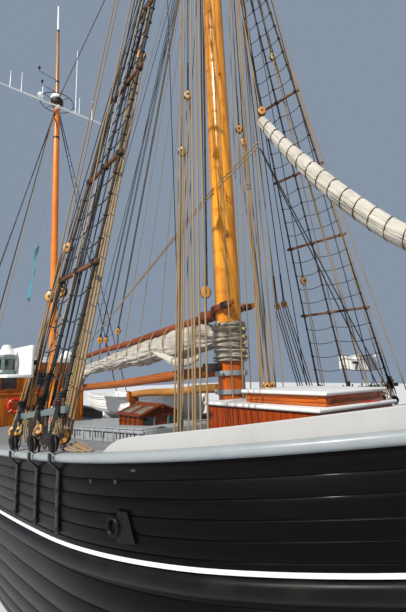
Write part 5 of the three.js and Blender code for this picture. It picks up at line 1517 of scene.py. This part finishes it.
dome = [(0, 0), (0, 0.235)] + [(0.05 + 0.22 * sin(a), 0.245 * cos(a)) for a in turns_of(8, 0.25)]
lathe(cowl, dome, (-5.8, 0.95, 3.32), UP, 32)
lathe(cowl, [(-0.05, 0), (-0.05, 0.16), (0.02, 0.16), (0.02, 0)], (-5.8, 0.95, 3.32), UP, 24)
for x, y, r, tall in ((-7.3, -0.7, 0.09, 0.22), (-6.3, -0.85, 0.07, 0.16)):
    lathe(cowl, [(-0.08, 0), (-0.08, r * 0.6), (tall * 0.6, r * 0.6), (tall * 0.6, r), (tall * 0.8, r * 0.9),
                 (tall, 0)], (x, y, 3.36), UP, 20)
piece("roof_cowls", cowl, STRIPE_WHITE, slot="white_paint")

# %% [markdown]
# The door hangs on pins in the port wall and swings outwards, so its leaf, its pane, its rails and its knob all
# ride on the door's body.

# %% Hang the door
dress("wheelhouse_door", HOUSE_WOOD, 0.006, "wheelhouse_door")
board(pane, (0.4, 0.008, HEADER - SILL), (-7.74, HOUSE_HALF - 0.019, GLASS_Z), 0.0)
piece("door_pane", pane, GLASS, "wheelhouse_door", "iron")
for z in (SILL - 0.03, HEADER + 0.03):
    board(rails, (0.46, 0.014, 0.05), (-7.74, HOUSE_HALF + 0.004, z), 0.004)
for x in (-7.965, -7.515):
    board(rails, (0.05, 0.014, 0.66), (x, HOUSE_HALF + 0.004, GLASS_Z), 0.004)
board(rails, (0.42, 0.014, 0.56), (-7.74, HOUSE_HALF + 0.004, 1.9), 0.006)
piece("door_rails", rails, SPAR_WOOD, "wheelhouse_door", "varnish")
lathe(knob, [(-0.01, 0), (-0.01, 0.026), (0.0, 0.026), (0.012, 0.012), (0.035, 0.012), (0.042, 0.026), (0.062, 0.022),
             (0.068, 0)], (-7.985, HOUSE_HALF + 0.004, 2.24), (0, 1, 0), 16)
board(knob, (0.05, 0.006, 0.16), (-7.985, HOUSE_HALF + 0.002, 2.22), 0.002)
piece("door_knob", knob, BRONZE, "wheelhouse_door", "bronze")

# %% [markdown]
# The helm is a varnished pedestal with a spoked wheel. A ship's wheel is turned work: eight spokes with swelling
# handles, a rim with brass faces and a hub with a brass cap.

# %% Turn the wheel
dress("helm_pedestal", HOUSE_WOOD, 0.015)
HUB = vec(-5.96, 0, 2.33)
wheel, brass = meshes(2)
rim = [(-0.022, 0.315), (-0.016, 0.352), (0.016, 0.352), (0.022, 0.315), (0.0, 0.306)]
lathe(wheel, rim + [rim[0]], HUB, (1, 0, 0), 48)
for a in turns_of(8)[:-1]:
    out_way = vec(0, cos(a), sin(a))
    spoke = [(0.02, 0), (0.02, 0.016), (0.07, 0.014), (0.12, 0.01), (0.18, 0.013), (0.24, 0.01), (0.3, 0.014),
             (0.345, 0.014), (0.352, 0.008), (0.375, 0.0125), (0.4, 0.013), (0.417, 0.009), (0.42, 0)]
    lathe(wheel, spoke, HUB, out_way, 12)
lathe(wheel, [(-0.035, 0), (-0.035, 0.055), (0.058, 0.055), (0.058, 0)], HUB, (1, 0, 0), 24)
for x in (-0.0235, 0.0225):
    lathe(brass, [(x, 0.322), (x, 0.346), (x + 0.002, 0.346), (x + 0.002, 0.322), (x, 0.322)], HUB, (1, 0, 0), 48)
lathe(brass, [(-0.045, 0), (-0.043, 0.02), (-0.035, 0.032), (-0.033, 0)], HUB, (1, 0, 0), 20)
piece("wheel_rim_and_spokes", wheel, SPAR_WOOD, "helm_wheel", replaces="helm_wheel")
piece("wheel_brass", brass, BRONZE, "helm_wheel", "bronze")
print("house:", PIECES["house_frames"], "faces of window frames")

# %% [markdown]
# ## Sidelights
# Each sidelight is a lantern on a shelf with a white screen board inboard of it, held out at the main shrouds.

# %% Fit the sidelights
for (sign, side), tint in zip(SIDES, (GREEN_GLASS, RED_GLASS)):
    screen, lamp, lens, arm, top = meshes(5)
    board(screen, (0.82, 0.025, 0.295), (3.79, sign * 3.2125, 2.9025), 0.006)
    board(screen, (0.82, 0.22, 0.03), (3.79, sign * 3.315, 2.77), 0.008)
    board(screen, (0.025, 0.2, 0.26), (3.4, sign * 3.31, 2.905), 0.006)
    foot = vec(3.76, sign * 3.33, 2.786)
    for turn in (0.55, 2.2, 3.3, 4.4):
        board(lamp, (0.014, 0.03, 0.105), placed(foot + polar(turn * sign, 0.083, 0.095), turn * sign), 0.003)
    for bm, profile in (
            (lamp, [(0, 0), (0, 0.088), (0.012, 0.094), (0.03, 0.09), (0.045, 0.082), (0.045, 0)]),
            (lamp, [(0.145, 0), (0.145, 0.086), (0.165, 0.095), (0.189, 0.088), (0.189, 0)]),
            (lens, [(0.04, 0), (0.04, 0.072), (0.06, 0.076), (0.095, 0.079), (0.13, 0.076), (0.15, 0.072), (0.15, 0)]),
            (top, [(0.187, 0), (0.187, 0.08), (0.21, 0.078), (0.235, 0.06), (0.26, 0.045), (0.28, 0.04),
                   (0.289, 0.02), (0.289, 0)])):
        lathe(bm, profile, foot, UP, 24)
    piece(f"sidelight_screen_{side}", screen, STRIPE_WHITE, replaces=f"sidelight_{side}")
    piece(f"sidelight_hood_{side}", top, STRIPE_WHITE, slot="white_paint")
    piece(f"sidelight_lamp_{side}", lamp, LAMP_GREY, slot="iron")
    piece(f"sidelight_lens_{side}", lens, tint, slot="iron")
    board(arm, (0.05, 0.16, 0.05), (3.79, sign * 3.13, 2.9), 0.006)
    piece(f"sidelight_arm_{side}", arm, BLACK_IRON, slot="iron")
print("sidelights done")

# %% [markdown]
# ## Shrouds, deadeyes and ratlines
# Each lower shroud is a wire served with tarred yarn. Its foot is lashed by a lanyard through the holes of two
# deadeyes, and an iron strap takes the pull from the lower one over the rail and down the side. A rail of belaying
# pins lies across the upper deadeyes, wooden battens spread the shrouds, and rope ratlines sag between them.

# %% Rig the shrouds
MAIN_FEET = {-1: (4.53, 4.0, 3.36), 1: (4.53, 3.66, 2.97)}
MIZZEN_FEET = (-4.5, -5.15)
EYE_RISES, POLE_RISE = (0.08, 0.35), 0.35
MAIN_HEAD = vec(main_at(14.6).x + 0.045, 0.13, 14.31)
MIZZEN_HEAD = vec(mizzen_at(12.0).x + 0.03, 0.08, 12.0)


def shroud(sign, x, head, n):
    """A function from a height to the place of the nth shroud from forward."""
    foot = vec(x, sign * (half_breadth(x) + 0.092), rail_top(x) - 0.04)
    top = vec(head.x - 0.045 * n, sign * head.y, head.z - 0.09 * n)
    return lambda z: foot.lerp(top, (z - foot.z) / (top.z - foot.z))


def ring_on(bm, middle, radius, axis, thick, sides=6, steps=12):
    """A ring of rope or rod round an axis."""
    rod(bm, closed_circle(middle, radius, axis, steps), thick, sides, close=False)


def closed_circle(middle, radius, axis, steps):
    """Points round a circle, the last one on the first."""
    axis = Vector(axis).normalized()
    side = axis.orthogonal().normalized()
    return [middle + across((side, axis.cross(side)), turn) * radius for turn in turns_of(steps)]


def sagging(a, b, sag, parts=6):
    """Points of a slack line from a to b."""
    return [a.lerp(b, k / parts) - UP * (4 * sag * (k / parts) * (1 - k / parts)) for k in range(parts + 1)]


def deadeye(bm, middle, half=0.032, radius=0.068):
    outline = [(-half, 0.02), (-half, 0.03), (-half, radius - 0.016), (-half + 0.012, radius), (-0.008, radius - 0.004)]
    outline += [(0, radius - 0.009)] + [(-along, out) for along, out in reversed(outline)]
    lathe(bm, outline, middle, (0, 1, 0), 14)
    for face in (-half - 0.001, half + 0.001):
        lathe(bm, [(face, 0.0001), (face, 0.022)], middle, (0, 1, 0), 6)


def shroud_set(name, sign, feet, head, radius, battens, ratlines):
    lines = [shroud(sign, x, head, n) for n, x in enumerate(feet)]
    tops = [head.z - 0.09 * n for n in range(len(feet))]
    wires, eyes, straps, lanyards, rail, pins, bars, ropes = meshes(8)
    for line, x, top in zip(lines, feet, tops):
        low = rail_top(x) + EYE_RISES[1] + 0.07
        rod(wires, [line(z) for z in (low, mix(low, top, 0.33), mix(low, top, 0.67), top)], radius, 8)
        rod(wires, [line(z) for z in (low, low + 0.5, low + 1.0)], lambda t: radius * (1.25 - 0.1 * t), 8)
        rod(wires, [line(z) for z in (top - 1.3, top - 0.6, top - 0.01)], radius * 1.35, 8)
        for k in range(3):
            at = line(low + 0.1 + 0.3 * k)
            ring_on(lanyards, at, radius * 1.3, (0, 0.2, 1), 0.008, 5)
        lower, upper = (line(rail_top(x) + rise) for rise in EYE_RISES)
        deadeye(eyes, lower)
        deadeye(eyes, upper)
        ring_on(wires, upper, 0.069, (0, 1, 0), radius * 0.9)
        ring_on(straps, lower, 0.071, (0, 1, 0), 0.01)
        for hole, face in ((dx, dy) for dx in (-0.032, 0.0, 0.032) for dy in (-0.042, 0.042)):
            ends = [lower + vec(hole, face * 0.7, -0.02), lower + vec(hole, face, 0.03),
                    upper + vec(hole * 1.1, face, -0.03), upper + vec(hole * 1.1, face * 0.7, 0.02)]
            rod(lanyards, ends, 0.0062, 5)
        for k in range(4):
            ring_on(lanyards, upper + UP * (0.085 + 0.022 * k), radius + 0.02, UP, 0.011, 5)
        drops = (0.0, 0.06, 0.135, 0.3, 0.45, 0.632)
        for a, b in zip(drops, drops[1:]):
            ends = []
            for drop in (a, b):
                side = half_breadth(x) if drop < 0.14 else side_at(x, rail_top(x) - drop).y
                out = RAIL_OUT + 0.032 if drop < 0.1 else 0.014
                ends.append(vec(x, sign * (side + out), rail_top(x) - drop))
            board(straps, ((ends[1] - ends[0]).length + 0.012, 0.05, 0.02), between(*ends, (0, sign, 0)), 0.005)
        for drop in (0.3, 0.45, 0.6):
            at = on_side(x, drop, 0.022, sign)
            lathe(straps, [(0, 0.018), (0.012, 0.014), (0.016, 0.0001)], at, (0, sign, 0), 8)

    def from_first_to_last(z_fore, z_aft, over):
        a, b = lines[0](z_fore), lines[-1](z_aft)
        out = (b - a).normalized() * over
        return a - out, b + out

    a, b = from_first_to_last(rail_top(feet[0]) + POLE_RISE, rail_top(feet[-1]) + POLE_RISE, 0.15)
    board(rail, ((b - a).length, 0.05, 0.062), between(a, b), 0.008)
    count = max(3, round((b - a).length / 0.2))
    for k in range(count):
        at = a.lerp(b, (k + 0.5) / count)
        lathe(pins, [(-0.13, 0.0001), (-0.125, 0.008), (0.03, 0.009), (0.035, 0.014), (0.07, 0.016), (0.1, 0.012),
                     (0.105, 0.0001)], at, (0.1, 0, 1), 7)
    piece(f"{name}_pin_rail", rail, LAMP_GREY if "main" in name else BATTEN_WOOD, replaces=name)
    piece(f"{name}_pins", pins, BATTEN_WOOD, slot="oiled_wood")
    if battens:
        for z in battens:
            a, b = from_first_to_last(z, z, 0.085)
            board(bars, ((b - a).length, 0.042, 0.046), between(a, b), 0.007)
            for line in lines:
                for step in (-0.02, 0.0, 0.02):
                    ring_on(lanyards, line(z) + vec(step, 0, 0), 0.04, (1, 0, 0.5), 0.008, 5)
        piece(f"{name}_battens", bars, BATTEN_WOOD, slot="oiled_wood")
    for z in ratlines:
        ends = [line(z) for line in lines]
        for a, b in zip(ends, ends[1:]):
            rod(ropes, sagging(a, b, 0.045 * min(1.0, (b - a).length / 0.5)), 0.0075, 5)
        for end in ends:
            ring_on(ropes, end, radius + 0.007, (0.3, 0, 1), 0.009, 5)
    piece(f"{name}_ratlines", ropes, TARRED, slot="tarred_wire")
    piece(f"{name}_wires", wires, TARRED, replaces=name)
    piece(f"{name}_deadeyes", eyes, TIMBER_BLACK, replaces=name)
    piece(f"{name}_lanyards", lanyards, TARRED, slot="tarred_wire")
    piece(f"{name}_chainplates", straps, BLACK_IRON, replaces=name)


BATTENS = (3.9, 5.3, 6.7, 8.2)
STEPS = [z + k * (z1 - z) / 5 for z, z1 in zip((2.5, *BATTENS, 9.6, 11.0), (*BATTENS, 9.6, 11.0, 12.4))
         for k in range(1, 5)] + [9.6, 11.0, 12.4]
for sign, side in SIDES:
    shroud_set(f"main_shrouds_{side}", sign, MAIN_FEET[sign], MAIN_HEAD, 0.017, BATTENS, STEPS)
    shroud_set(f"mizzen_shrouds_{side}", sign, MIZZEN_FEET, MIZZEN_HEAD, 0.013, (), even(3.0, 10.5, 0.38))
print("shrouds with", len(STEPS), "ratlines a side;", sum(PIECES.values()), "faces so far")

# %% [markdown]
# ## The stays and the pennant
# The forestay, the jib stay, the stay between the masts and the bobstay are wires with served ends. A bare teal
# pennant, blown out from its halyard, hangs below the mizzen's head and narrows to a point at the top.

# %% Rig the stays
def stay(name, a, b, radius, ends=0.5):
    bm = bmesh.new()
    a, b = Vector(a), Vector(b)
    rod(bm, straight(a, b), radius, 8)
    run = (b - a).normalized()
    for end, way in ((a, run), (b, -run)):
        rod(bm, [end + way * 0.02, end + way * ends, end + way * (ends + 0.02)], radius * 1.35, 8)
    piece(f"{name}_wire", bm, TARRED, replaces=name)


stay("forestay", main_at(14.15) + vec(0.14, 0, 0), (9.47, 0, 3.25), 0.014, 0.7)
stay("jib_stay", main_at(18.2) + vec(0.3, 0, 0), sprit_at(15.15), 0.014)
stay("spring_stay", main_at(14.95), mizzen_at(12.45), 0.012)
stay("bobstay", (8.995, 0, 0.7), sprit_at(14.94) - UP * 0.118, 0.016)
HALYARD = (vec(4.345, 0, 6.57), vec(main_at(13.7).x + 0.14, 0, 13.7))
FLAG_LINE = (vec(mizzen_at(11.7).x - 0.08, 0, 11.7), vec(-7.9, 0, 3.32))
for name, (a, b), radius, sides, stuff, node in (("staysail_halyard", HALYARD, 0.012, 7, MANILA, "furled_staysail"),
                                                 ("flag_halyard", FLAG_LINE, 0.008, 6, PALE_ROPE, "pennant")):
    bm = bmesh.new()
    rod(bm, straight(a, b), radius, sides)
    piece(name, bm, stuff, replaces=node)


def on_flag_line(z):
    a, b = FLAG_LINE
    return a.lerp(b, (a.z - z) / (a.z - b.z))


PENNANT_TOP, PENNANT_FOOT = 7.5, 5.7


def pennant(s, t):
    z = mix(PENNANT_FOOT, PENNANT_TOP, t)
    wide = 0.1 + 0.5 * sin(min(1.0, (1 - t) * 1.25) * pi / 2) - 0.16 * max(0.0, 0.2 - t) / 0.2
    at = on_flag_line(z)
    wave = 0.06 * sin(s * 7.0 + t * 5.0) * s + 0.04 * sin(t * 9.0 - s * 4.0) * s
    return at + vec(-wide * s, wave + 0.06 * s, -0.16 * s + 0.03 * sin(s * 5 + t * 3) * s)


bm = bmesh.new()
sheet_on(bm, 14, 30, pennant)
cloth = piece("pennant_cloth", bm, TEAL_CLOTH, replaces="pennant", turn=False)
print("stays, halyards and pennant rigged")

# %% [markdown]
# ## Running rigging
# Halyards, tackles and falls come down from the mastheads to pins at the rails and at the mast. Each row of the table
# is one rope: its stuff (manila, tarred or grey), its radius and its two ends. They were traced from the photograph,
# and each ends at a spar, a block, a pin or the deck. Those that end on the gaff or the boom ride with it.

# %% String the ropes
HALYARDS = """
m 0.009 3.22 -0.1 19.8 3.44 -3.05 2.26
m 0.009 3.24 -0.1 19.5 3.58 -3.05 2.26
m 0.01 3.28 -0.1 18.2 3.87 -3 2.18
t 0.009 3.28 -0.1 18 4.04 -3 2.2
t 0.012 3 -0.3 14.3 3.79 -2.95 2.13
m 0.011 3.05 -0.3 14.3 4.21 -2.93 2.13
t 0.006 2.87 -0.9 14.5 4.32 -1.59 1.8
m 0.01 2.81 -0.3 14.3 4.71 -1.95 1.8
m 0.01 2.93 -0.3 14.3 4.75 -1.95 1.8
m 0.011 3.02 -0.3 14.3 5 -1.95 1.8
m 0.011 3.15 -0.3 14.3 5.09 -1.96 1.8
m 0.01 3.18 -0.3 14.3 5.2 -1.96 1.8
m 0.01 3.42 -0.22 14.3 3.98 -0.47 2.39
m 0.011 3.48 0.2 14.3 4 -0.29 2.39
m 0.009 3.46 0.22 14.3 4.02 -0.15 2.39
m 0.013 3.5 0.25 14.3 4.04 0.03 2.39
m 0.013 3.52 0.3 14.3 4.06 0.05 2.39
m 0.009 3.5 0.35 14.3 3.97 0.3 2.39
m 0.012 3.4 0.4 14.3 4.05 0.36 2.39
m 0.009 3.4 0.45 14.3 4.12 0.45 2.39
m 0.01 2.92 0.3 14.3 4.83 2.95 2.32
m 0.009 3.27 0.3 14.3 3.74 2.9 2.56
t 0.009 3.07 0.3 14.3 4.05 2.9 2.56
t 0.009 3.18 0.3 14.3 2.81 2.8 2.46
m 0.009 3.06 0.3 14.3 4.65 2.9 2.32
t 0.015 -5.1 -0.12 11.9 -0.36 -2.95 1.72
m 0.01 -5.05 -0.12 11.8 0.13 -2.95 1.73
t 0.01 4.35 -0.1 6.1 4.46 2.85 2.21
t 0.01 4.33 -0.05 6.1 4.6 2.88 2.21
m 0.012 4.33 -0.12 6.13 3.6 -0.27 5.72
m 0.012 4.33 -0.12 6.2 3.6 -0.27 5.79
t 0.008 3.1 -0.3 14.2 3.5 -3 2.22
m 0.009 2.9 -0.3 14.1 3.2 -3 2.2
t 0.008 3 -0.3 14.3 3.3 -3 2.2
g 0.008 3.15 -0.3 14.3 3.7 -3 2.22
m 0.008 3.2 -0.3 13.9 4.4 -3 2.25
t 0.008 3 -0.3 13.8 4.12 -3 2.25
t 0.009 3.4 0.3 14.2 4.3 2.9 2.3
m 0.009 3.35 0.3 14.2 4.5 2.9 2.3
"""
GAFF_LINES = """
m 0.012 3.4 -0.22 5.72 -2.4 -0.1 3.24
m 0.012 3.4 -0.22 5.79 -2.25 -0.1 3.28
t 0.017 2.99 0.03 12.6 2.89 0.03 4.25
t 0.013 2.99 -0.03 12.6 2.89 -0.03 4.25
m 0.007 2.97 -0.05 12.5 1.51 -0.03 3.64
m 0.007 2.98 -0.05 12.2 0.75 -0.03 3.58
m 0.011 2.97 0 12.7 -0.28 0 3.86
t 0.008 2.96 0.05 12.6 -3.7 0.05 2.4
m 0.007 2.96 -0.05 12.6 -3.6 -0.05 2.41
t 0.007 2.97 0.06 12.3 -1.9 0.04 3.27
m 0.007 2.97 -0.06 12.4 0.1 -0.04 3.45
t 0.007 2.98 0.05 12.1 2 0.04 3.62
"""
# A tackle: its wood, its pendant's top, the upper block, the lower block, the number of parts and their radius.
TACKLES = """
block 3 -0.3 14.3 3.54 -1.7 7.36 4.36 -2.95 2.22 4 0.014
pale 3 -0.3 14.3 3.62 -0.9 7.04 4.93 -1.95 1.95 2 0.009
pale 2.95 -0.3 14.3 3.72 -1.1 5.97 4.72 -1.95 1.95 3 0.009
block 3.3 0.3 14.3 2.63 2.2 4.12 2.66 2.92 2.1 3 0.011
block 3.3 0.3 14.3 2.74 2.3 4.16 2.92 2.92 2.1 3 0.011
block 3.3 0.3 14.3 3.27 2.3 4.56 3.2 2.92 2.1 2 0.009
block 3.45 0.2 14.3 3.44 0.4 7.08 4.08 0.12 2.55 2 0.01
block 3.45 0.2 14.3 3.51 0.45 6.81 4.07 0.24 2.55 2 0.01
pale 3.1 0.3 14.3 3.42 1.5 9.18 4.15 2.92 2.3 2 0.009
block 3.2 -0.2 14.3 2.81 -2.4 4.49 3.08 -3.05 2.15 2 0.009
block 3.1 -0.2 14.3 2.77 -2.6 3.79 3.3 -3.05 2.17 2 0.009
block 3.1 -0.2 14.3 3.2 -2.6 3.79 3.99 -3.05 2.25 2 0.009
block 3.25 0 13.8 4.33 0 6.76 4.35 0 6.6 1 0.009
"""
ROPES = {"m": MANILA, "t": TARRED, "g": GREY_ROPE}
TO_VIEW = vec(0.77, -0.64, 0.0)


def rows_of(table):
    """The rows of a table in plain text: a word, then numbers."""
    return [(word, [float(n) for n in numbers]) for word, *numbers in map(str.split, table.split("\n")[1:-1])]


def string(bm, a, b, radius):
    """A taut rope with a little sag, in stretches short enough for its lay to stay even."""
    a, b = Vector(a), Vector(b)
    slack = 0.003 * (b - a).xy.length
    rod(bm, sagging(a, b, slack, 8), radius, 6)


def cheek(bm, place, wide, long, thick):
    """An oval cheek with rounded edges, its thickness along the local Z axis."""
    made = bmesh.ops.create_cone(bm, cap_ends=True, segments=20, radius1=0.5, radius2=0.5, depth=thick,
                                 matrix=place @ Matrix.Diagonal((wide, long, 1, 1)))["verts"]
    rim = {e for v in made for e in v.link_edges if any(len(f.verts) > 4 for f in e.link_faces)}
    soften(bm, rim, 0.009)


def block(shell, fittings, at, pull, size=0.14, wide=0.085):
    """A wooden block: two cheeks, a dark sheave between them, a pin, and a strop to an eye on the side of the pull."""
    at, pull = Vector(at), Vector(pull).normalized()
    wide_way = pull.cross(TO_VIEW).normalized()
    pin = pull.cross(wide_way).normalized()
    frame_of = Matrix((wide_way, pull, pin)).transposed().to_4x4()
    for sign in (-1, 1):
        cheek(shell, Matrix.Translation(at + pin * sign * wide * 0.33) @ frame_of, size * 0.86, size * 1.1, wide * 0.34)
        lathe(fittings, [(0, 0.02), (0.006, 0.018), (0.008, 0.0001)], at + pin * sign * wide * 0.49, pin * sign, 8)
    rod(fittings, [at - pin * wide * 0.2, at + pin * wide * 0.2], size * 0.36, 12)
    ring = [at + wide_way * sin(a) * size * 0.43 + pull * cos(a) * size * 0.53 for a in turns_of(14)]
    rod(fittings, ring, 0.011, 6, close=False)
    ring_on(fittings, at + pull * size * 0.72, size * 0.16, pin, 0.009, 6, 10)


bundles = defaultdict(bmesh.new)
shells, pale_shells, fittings, gaff_shells, gaff_fittings = meshes(5)
for rows, body in ((HALYARDS, "hull"), (GAFF_LINES, "main_boom")):
    for kind, (radius, *ends) in rows_of(rows):
        string(bundles[kind, body], ends[:3], ends[3:], radius)
for wood, (*places, parts, radius) in rows_of(TACKLES):
    top, upper, lower = (Vector(places[k:k + 3]) for k in (0, 3, 6))
    shell = shells if wood == "block" else pale_shells
    size = 0.16 if parts > 3 and radius > 0.012 else 0.13
    block(shell, fittings, upper, top - upper, size)
    pull = (top - upper).normalized()
    string(bundles["t", "hull"], top, upper + pull * size * 0.8, radius * 0.9)
    rod(bundles["t", "hull"], [upper + pull * size * 0.75, upper + pull * (size * 0.75 + 0.55)], radius * 1.6, 7)
    if (upper - lower).length < 0.5:
        continue
    block(shell, fittings, lower, lower - upper, size * 0.72)
    side = (upper - lower).cross(TO_VIEW).normalized()
    for k in range(int(parts)):
        shift = side * (k - (parts - 1) / 2) * radius * (2.3 if parts > 3 else 4.6)
        string(bundles["t" if parts == 3 and k == 1 else "m", "hull"], upper + shift, lower + shift, radius)
    foot = vec(lower.x, lower.y, deck_top(lower.x, lower.y) if abs(lower.y) < 2.5 else rail_top(lower.x))
    rod(fittings, [lower + (lower - upper).normalized() * size * 0.6, foot], 0.01, 6)
for x, y, z, size in ((2.89, 0.0, 4.13, 0.2), (-1.21, 0.0, 3.6, 0.16), (-0.88, 0.0, 3.58, 0.12),
                      (-0.28, 0.0, 3.74, 0.13)):
    block(gaff_shells, gaff_fittings, (x, y, z), vec(2.9, 0, 14) - vec(x, y, z) if x > 0 else (0.3, 0, 1), size)
    low = vec(x, y, z - size * 0.5)
    on_gaff = GAFF[0].lerp(GAFF[1], (GAFF[0].x - x) / (GAFF[0].x - GAFF[1].x))
    rod(gaff_fittings, [low, on_gaff + UP * 0.05], 0.014, 6)
    if x < 0:
        for step in (-0.02, 0.02):
            string(bundles["t", "main_boom"], (2.96, step, 12.7), (x + step, 0.0, z + size * 0.4), 0.008)


def coil(bm, pin, wide, high, radius, turns, seed):
    """Turns of slack rope hung over a pin, each a little different from the last."""
    pin = Vector(pin)
    for k in range(turns):
        w, h = wide * (0.8 + 0.3 * sin(seed + 1.7 * k)), high * (0.85 + 0.2 * sin(seed * 2 + 2.3 * k))
        y = 0.02 * sin(seed * 3 + k) + 0.012 * (k - turns / 2)
        loop = [pin + vec(w * sin(a) * (1 - 0.35 * cos(a)), y, h * (cos(a) - 1)) for a in turns_of(16)]
        rod(bm, loop, radius, 5, close=False)


for n, (x, kind, high, turns) in enumerate(((4.46, "m", 0.16, 4), (4.3, "g", 0.2, 4), (4.12, "t", 0.18, 3),
                                            (3.88, "m", 0.19, 4), (3.72, "t", 0.2, 4), (3.55, "m", 0.15, 3),
                                            (3.3, "g", 0.18, 3))):
    for sign in (-1, 1):
        pin = (x, sign * (half_breadth(x) - 0.02), rail_top(x) + 0.4)
        coil(bundles[kind, "hull"], pin, 0.06, high, 0.0085, turns, n + sign)
for n in range(3):
    middle = vec(4.62 + 0.06 * n, -2.98 + 0.02 * n, rail_top(4.7) + 0.017 + 0.013 * n)
    loop = [middle + vec((0.17 + 0.04 * n) * sin(a), 0.05 * cos(a + 0.4 * n), 0) for a in turns_of(18)]
    rod(bundles["m", "hull"], loop, 0.008, 5, close=False)
piece("block_shells", shells, BLOCK_WOOD, slot="oiled_wood")
piece("pale_block_shells", pale_shells, PALE_BLOCK, slot="oiled_wood")
piece("block_fittings", fittings, BLACK_IRON, slot="iron")
piece("gaff_block_shells", gaff_shells, BLOCK_WOOD, "main_boom", "oiled_wood")
piece("gaff_block_fittings", gaff_fittings, BLACK_IRON, "main_boom", "iron")
for (kind, body), bm in bundles.items():
    piece(f"ropes_{ROPES[kind].name}_{body}", bm, ROPES[kind], body, slot="tarred_wire")
print("running ropes:", len(rows_of(HALYARDS + GAFF_LINES[1:])), "and", len(rows_of(TACKLES)), "tackles")

# %% [markdown]
# ## Small gear
# A tarred line and a shackle lie heaped on the fore slab beside the companion, with a bit of red cord. A red lifebuoy
# hangs on the wheelhouse's front wall, to starboard of the windows' middle.

# %% Lay out the small gear
heap, red, bands = meshes(3)
for n in range(7):
    middle = vec(5.44 + 0.03 * sin(2.1 * n), 0.735 + 0.02 * cos(1.7 * n), 2.388 + 0.017 * n)
    tilt = vec(0.25 * sin(3 * n), 0.3 * cos(2 * n), 1)
    ring_on(heap, middle, 0.062 - 0.004 * n, tilt, 0.0085, 6, 14)
ring_on(heap, vec(5.5, 0.7, 2.47), 0.03, (1, 0.4, 0), 0.008, 6, 10)
rod(red, smooth_path([(5.59, 0.1, 2.387), (5.585, 0.22, 2.389), (5.58, 0.33, 2.388), (5.6, 0.42, 2.388)], 4), 0.008, 6)
buoy = vec(-5.42, -0.78, 1.86)
ring_on(red, buoy, 0.19, (1, 0, 0), 0.05, 12, 24)
piece("slab_gear", heap, TARRED, slot="tarred_wire")
piece("red_gear", red, CAP_RED, slot="red_brown")
for k in range(4):
    a = tau * (k + 0.5) / 4
    at = buoy + vec(0, cos(a), sin(a)) * 0.19
    ring_on(bands, at, 0.052, (0, -sin(a), cos(a)), 0.008, 5, 10)
piece("lifebuoy_bands", bands, BOAT_WHITE, slot="white_paint")
print("small gear laid out")

# %% [markdown]
# ## Floor, light and the last lines
# The ship stands afloat, so the plain pale floor lies at its waterline. A sun shines from starboard, a little ahead
# and about 41 degrees up, as the photograph's shadows show, and a pale sky fills the shadows.

# %% Light the stage
SUN_POWER, SUN_SPREAD, SUN_COLOUR, TO_SUN = 4.9, radians(1.5), (1.0, 0.95, 0.87), vec(0.2, -0.8, 0.72)
SKY_COLOUR, SKY_POWER = (0.6, 0.74, 0.95, 1), 0.4

ground = bmesh.new()
bmesh.ops.create_grid(ground, x_segments=1, y_segments=1, size=70)
floor_mesh = bpy.data.meshes.new("floor")
ground.to_mesh(floor_mesh)
floor = bpy.data.objects.new("floor", floor_mesh)
bpy.context.scene.collection.objects.link(floor)
pale = Finish("floor_pale")
floor_tone = pale.noise(pale.place(), 0.4).blend((0.62, 0.63, 0.65), (0.6, 0.61, 0.63))
floor_mesh.materials.append(pale.finish(floor_tone, 0.75))

sun = bpy.data.objects.new("key_light", bpy.data.lights.new("key_light", "SUN"))
sun.data.energy, sun.data.angle, sun.data.color = SUN_POWER, SUN_SPREAD, SUN_COLOUR
sun.rotation_euler = TO_SUN.to_track_quat("Z", "Y").to_euler()
bpy.context.scene.collection.objects.link(sun)

world = bpy.data.worlds.new("sky")
world.use_nodes = True
bpy.context.scene.world = world
sky = world.node_tree.nodes["Background"]
sky.inputs[0].default_value, sky.inputs[1].default_value = SKY_COLOUR, SKY_POWER
bpy.context.scene.view_settings.view_transform = "Standard"
bpy.context.scene.view_settings.look = "None"

# %% Count the pieces
print("solids still in their own paint:", [n for n, node in frame["nodes"].items() if not node.hide_render])
print("faces in all:", sum(PIECES.values()), "in", len(PIECES), "pieces")
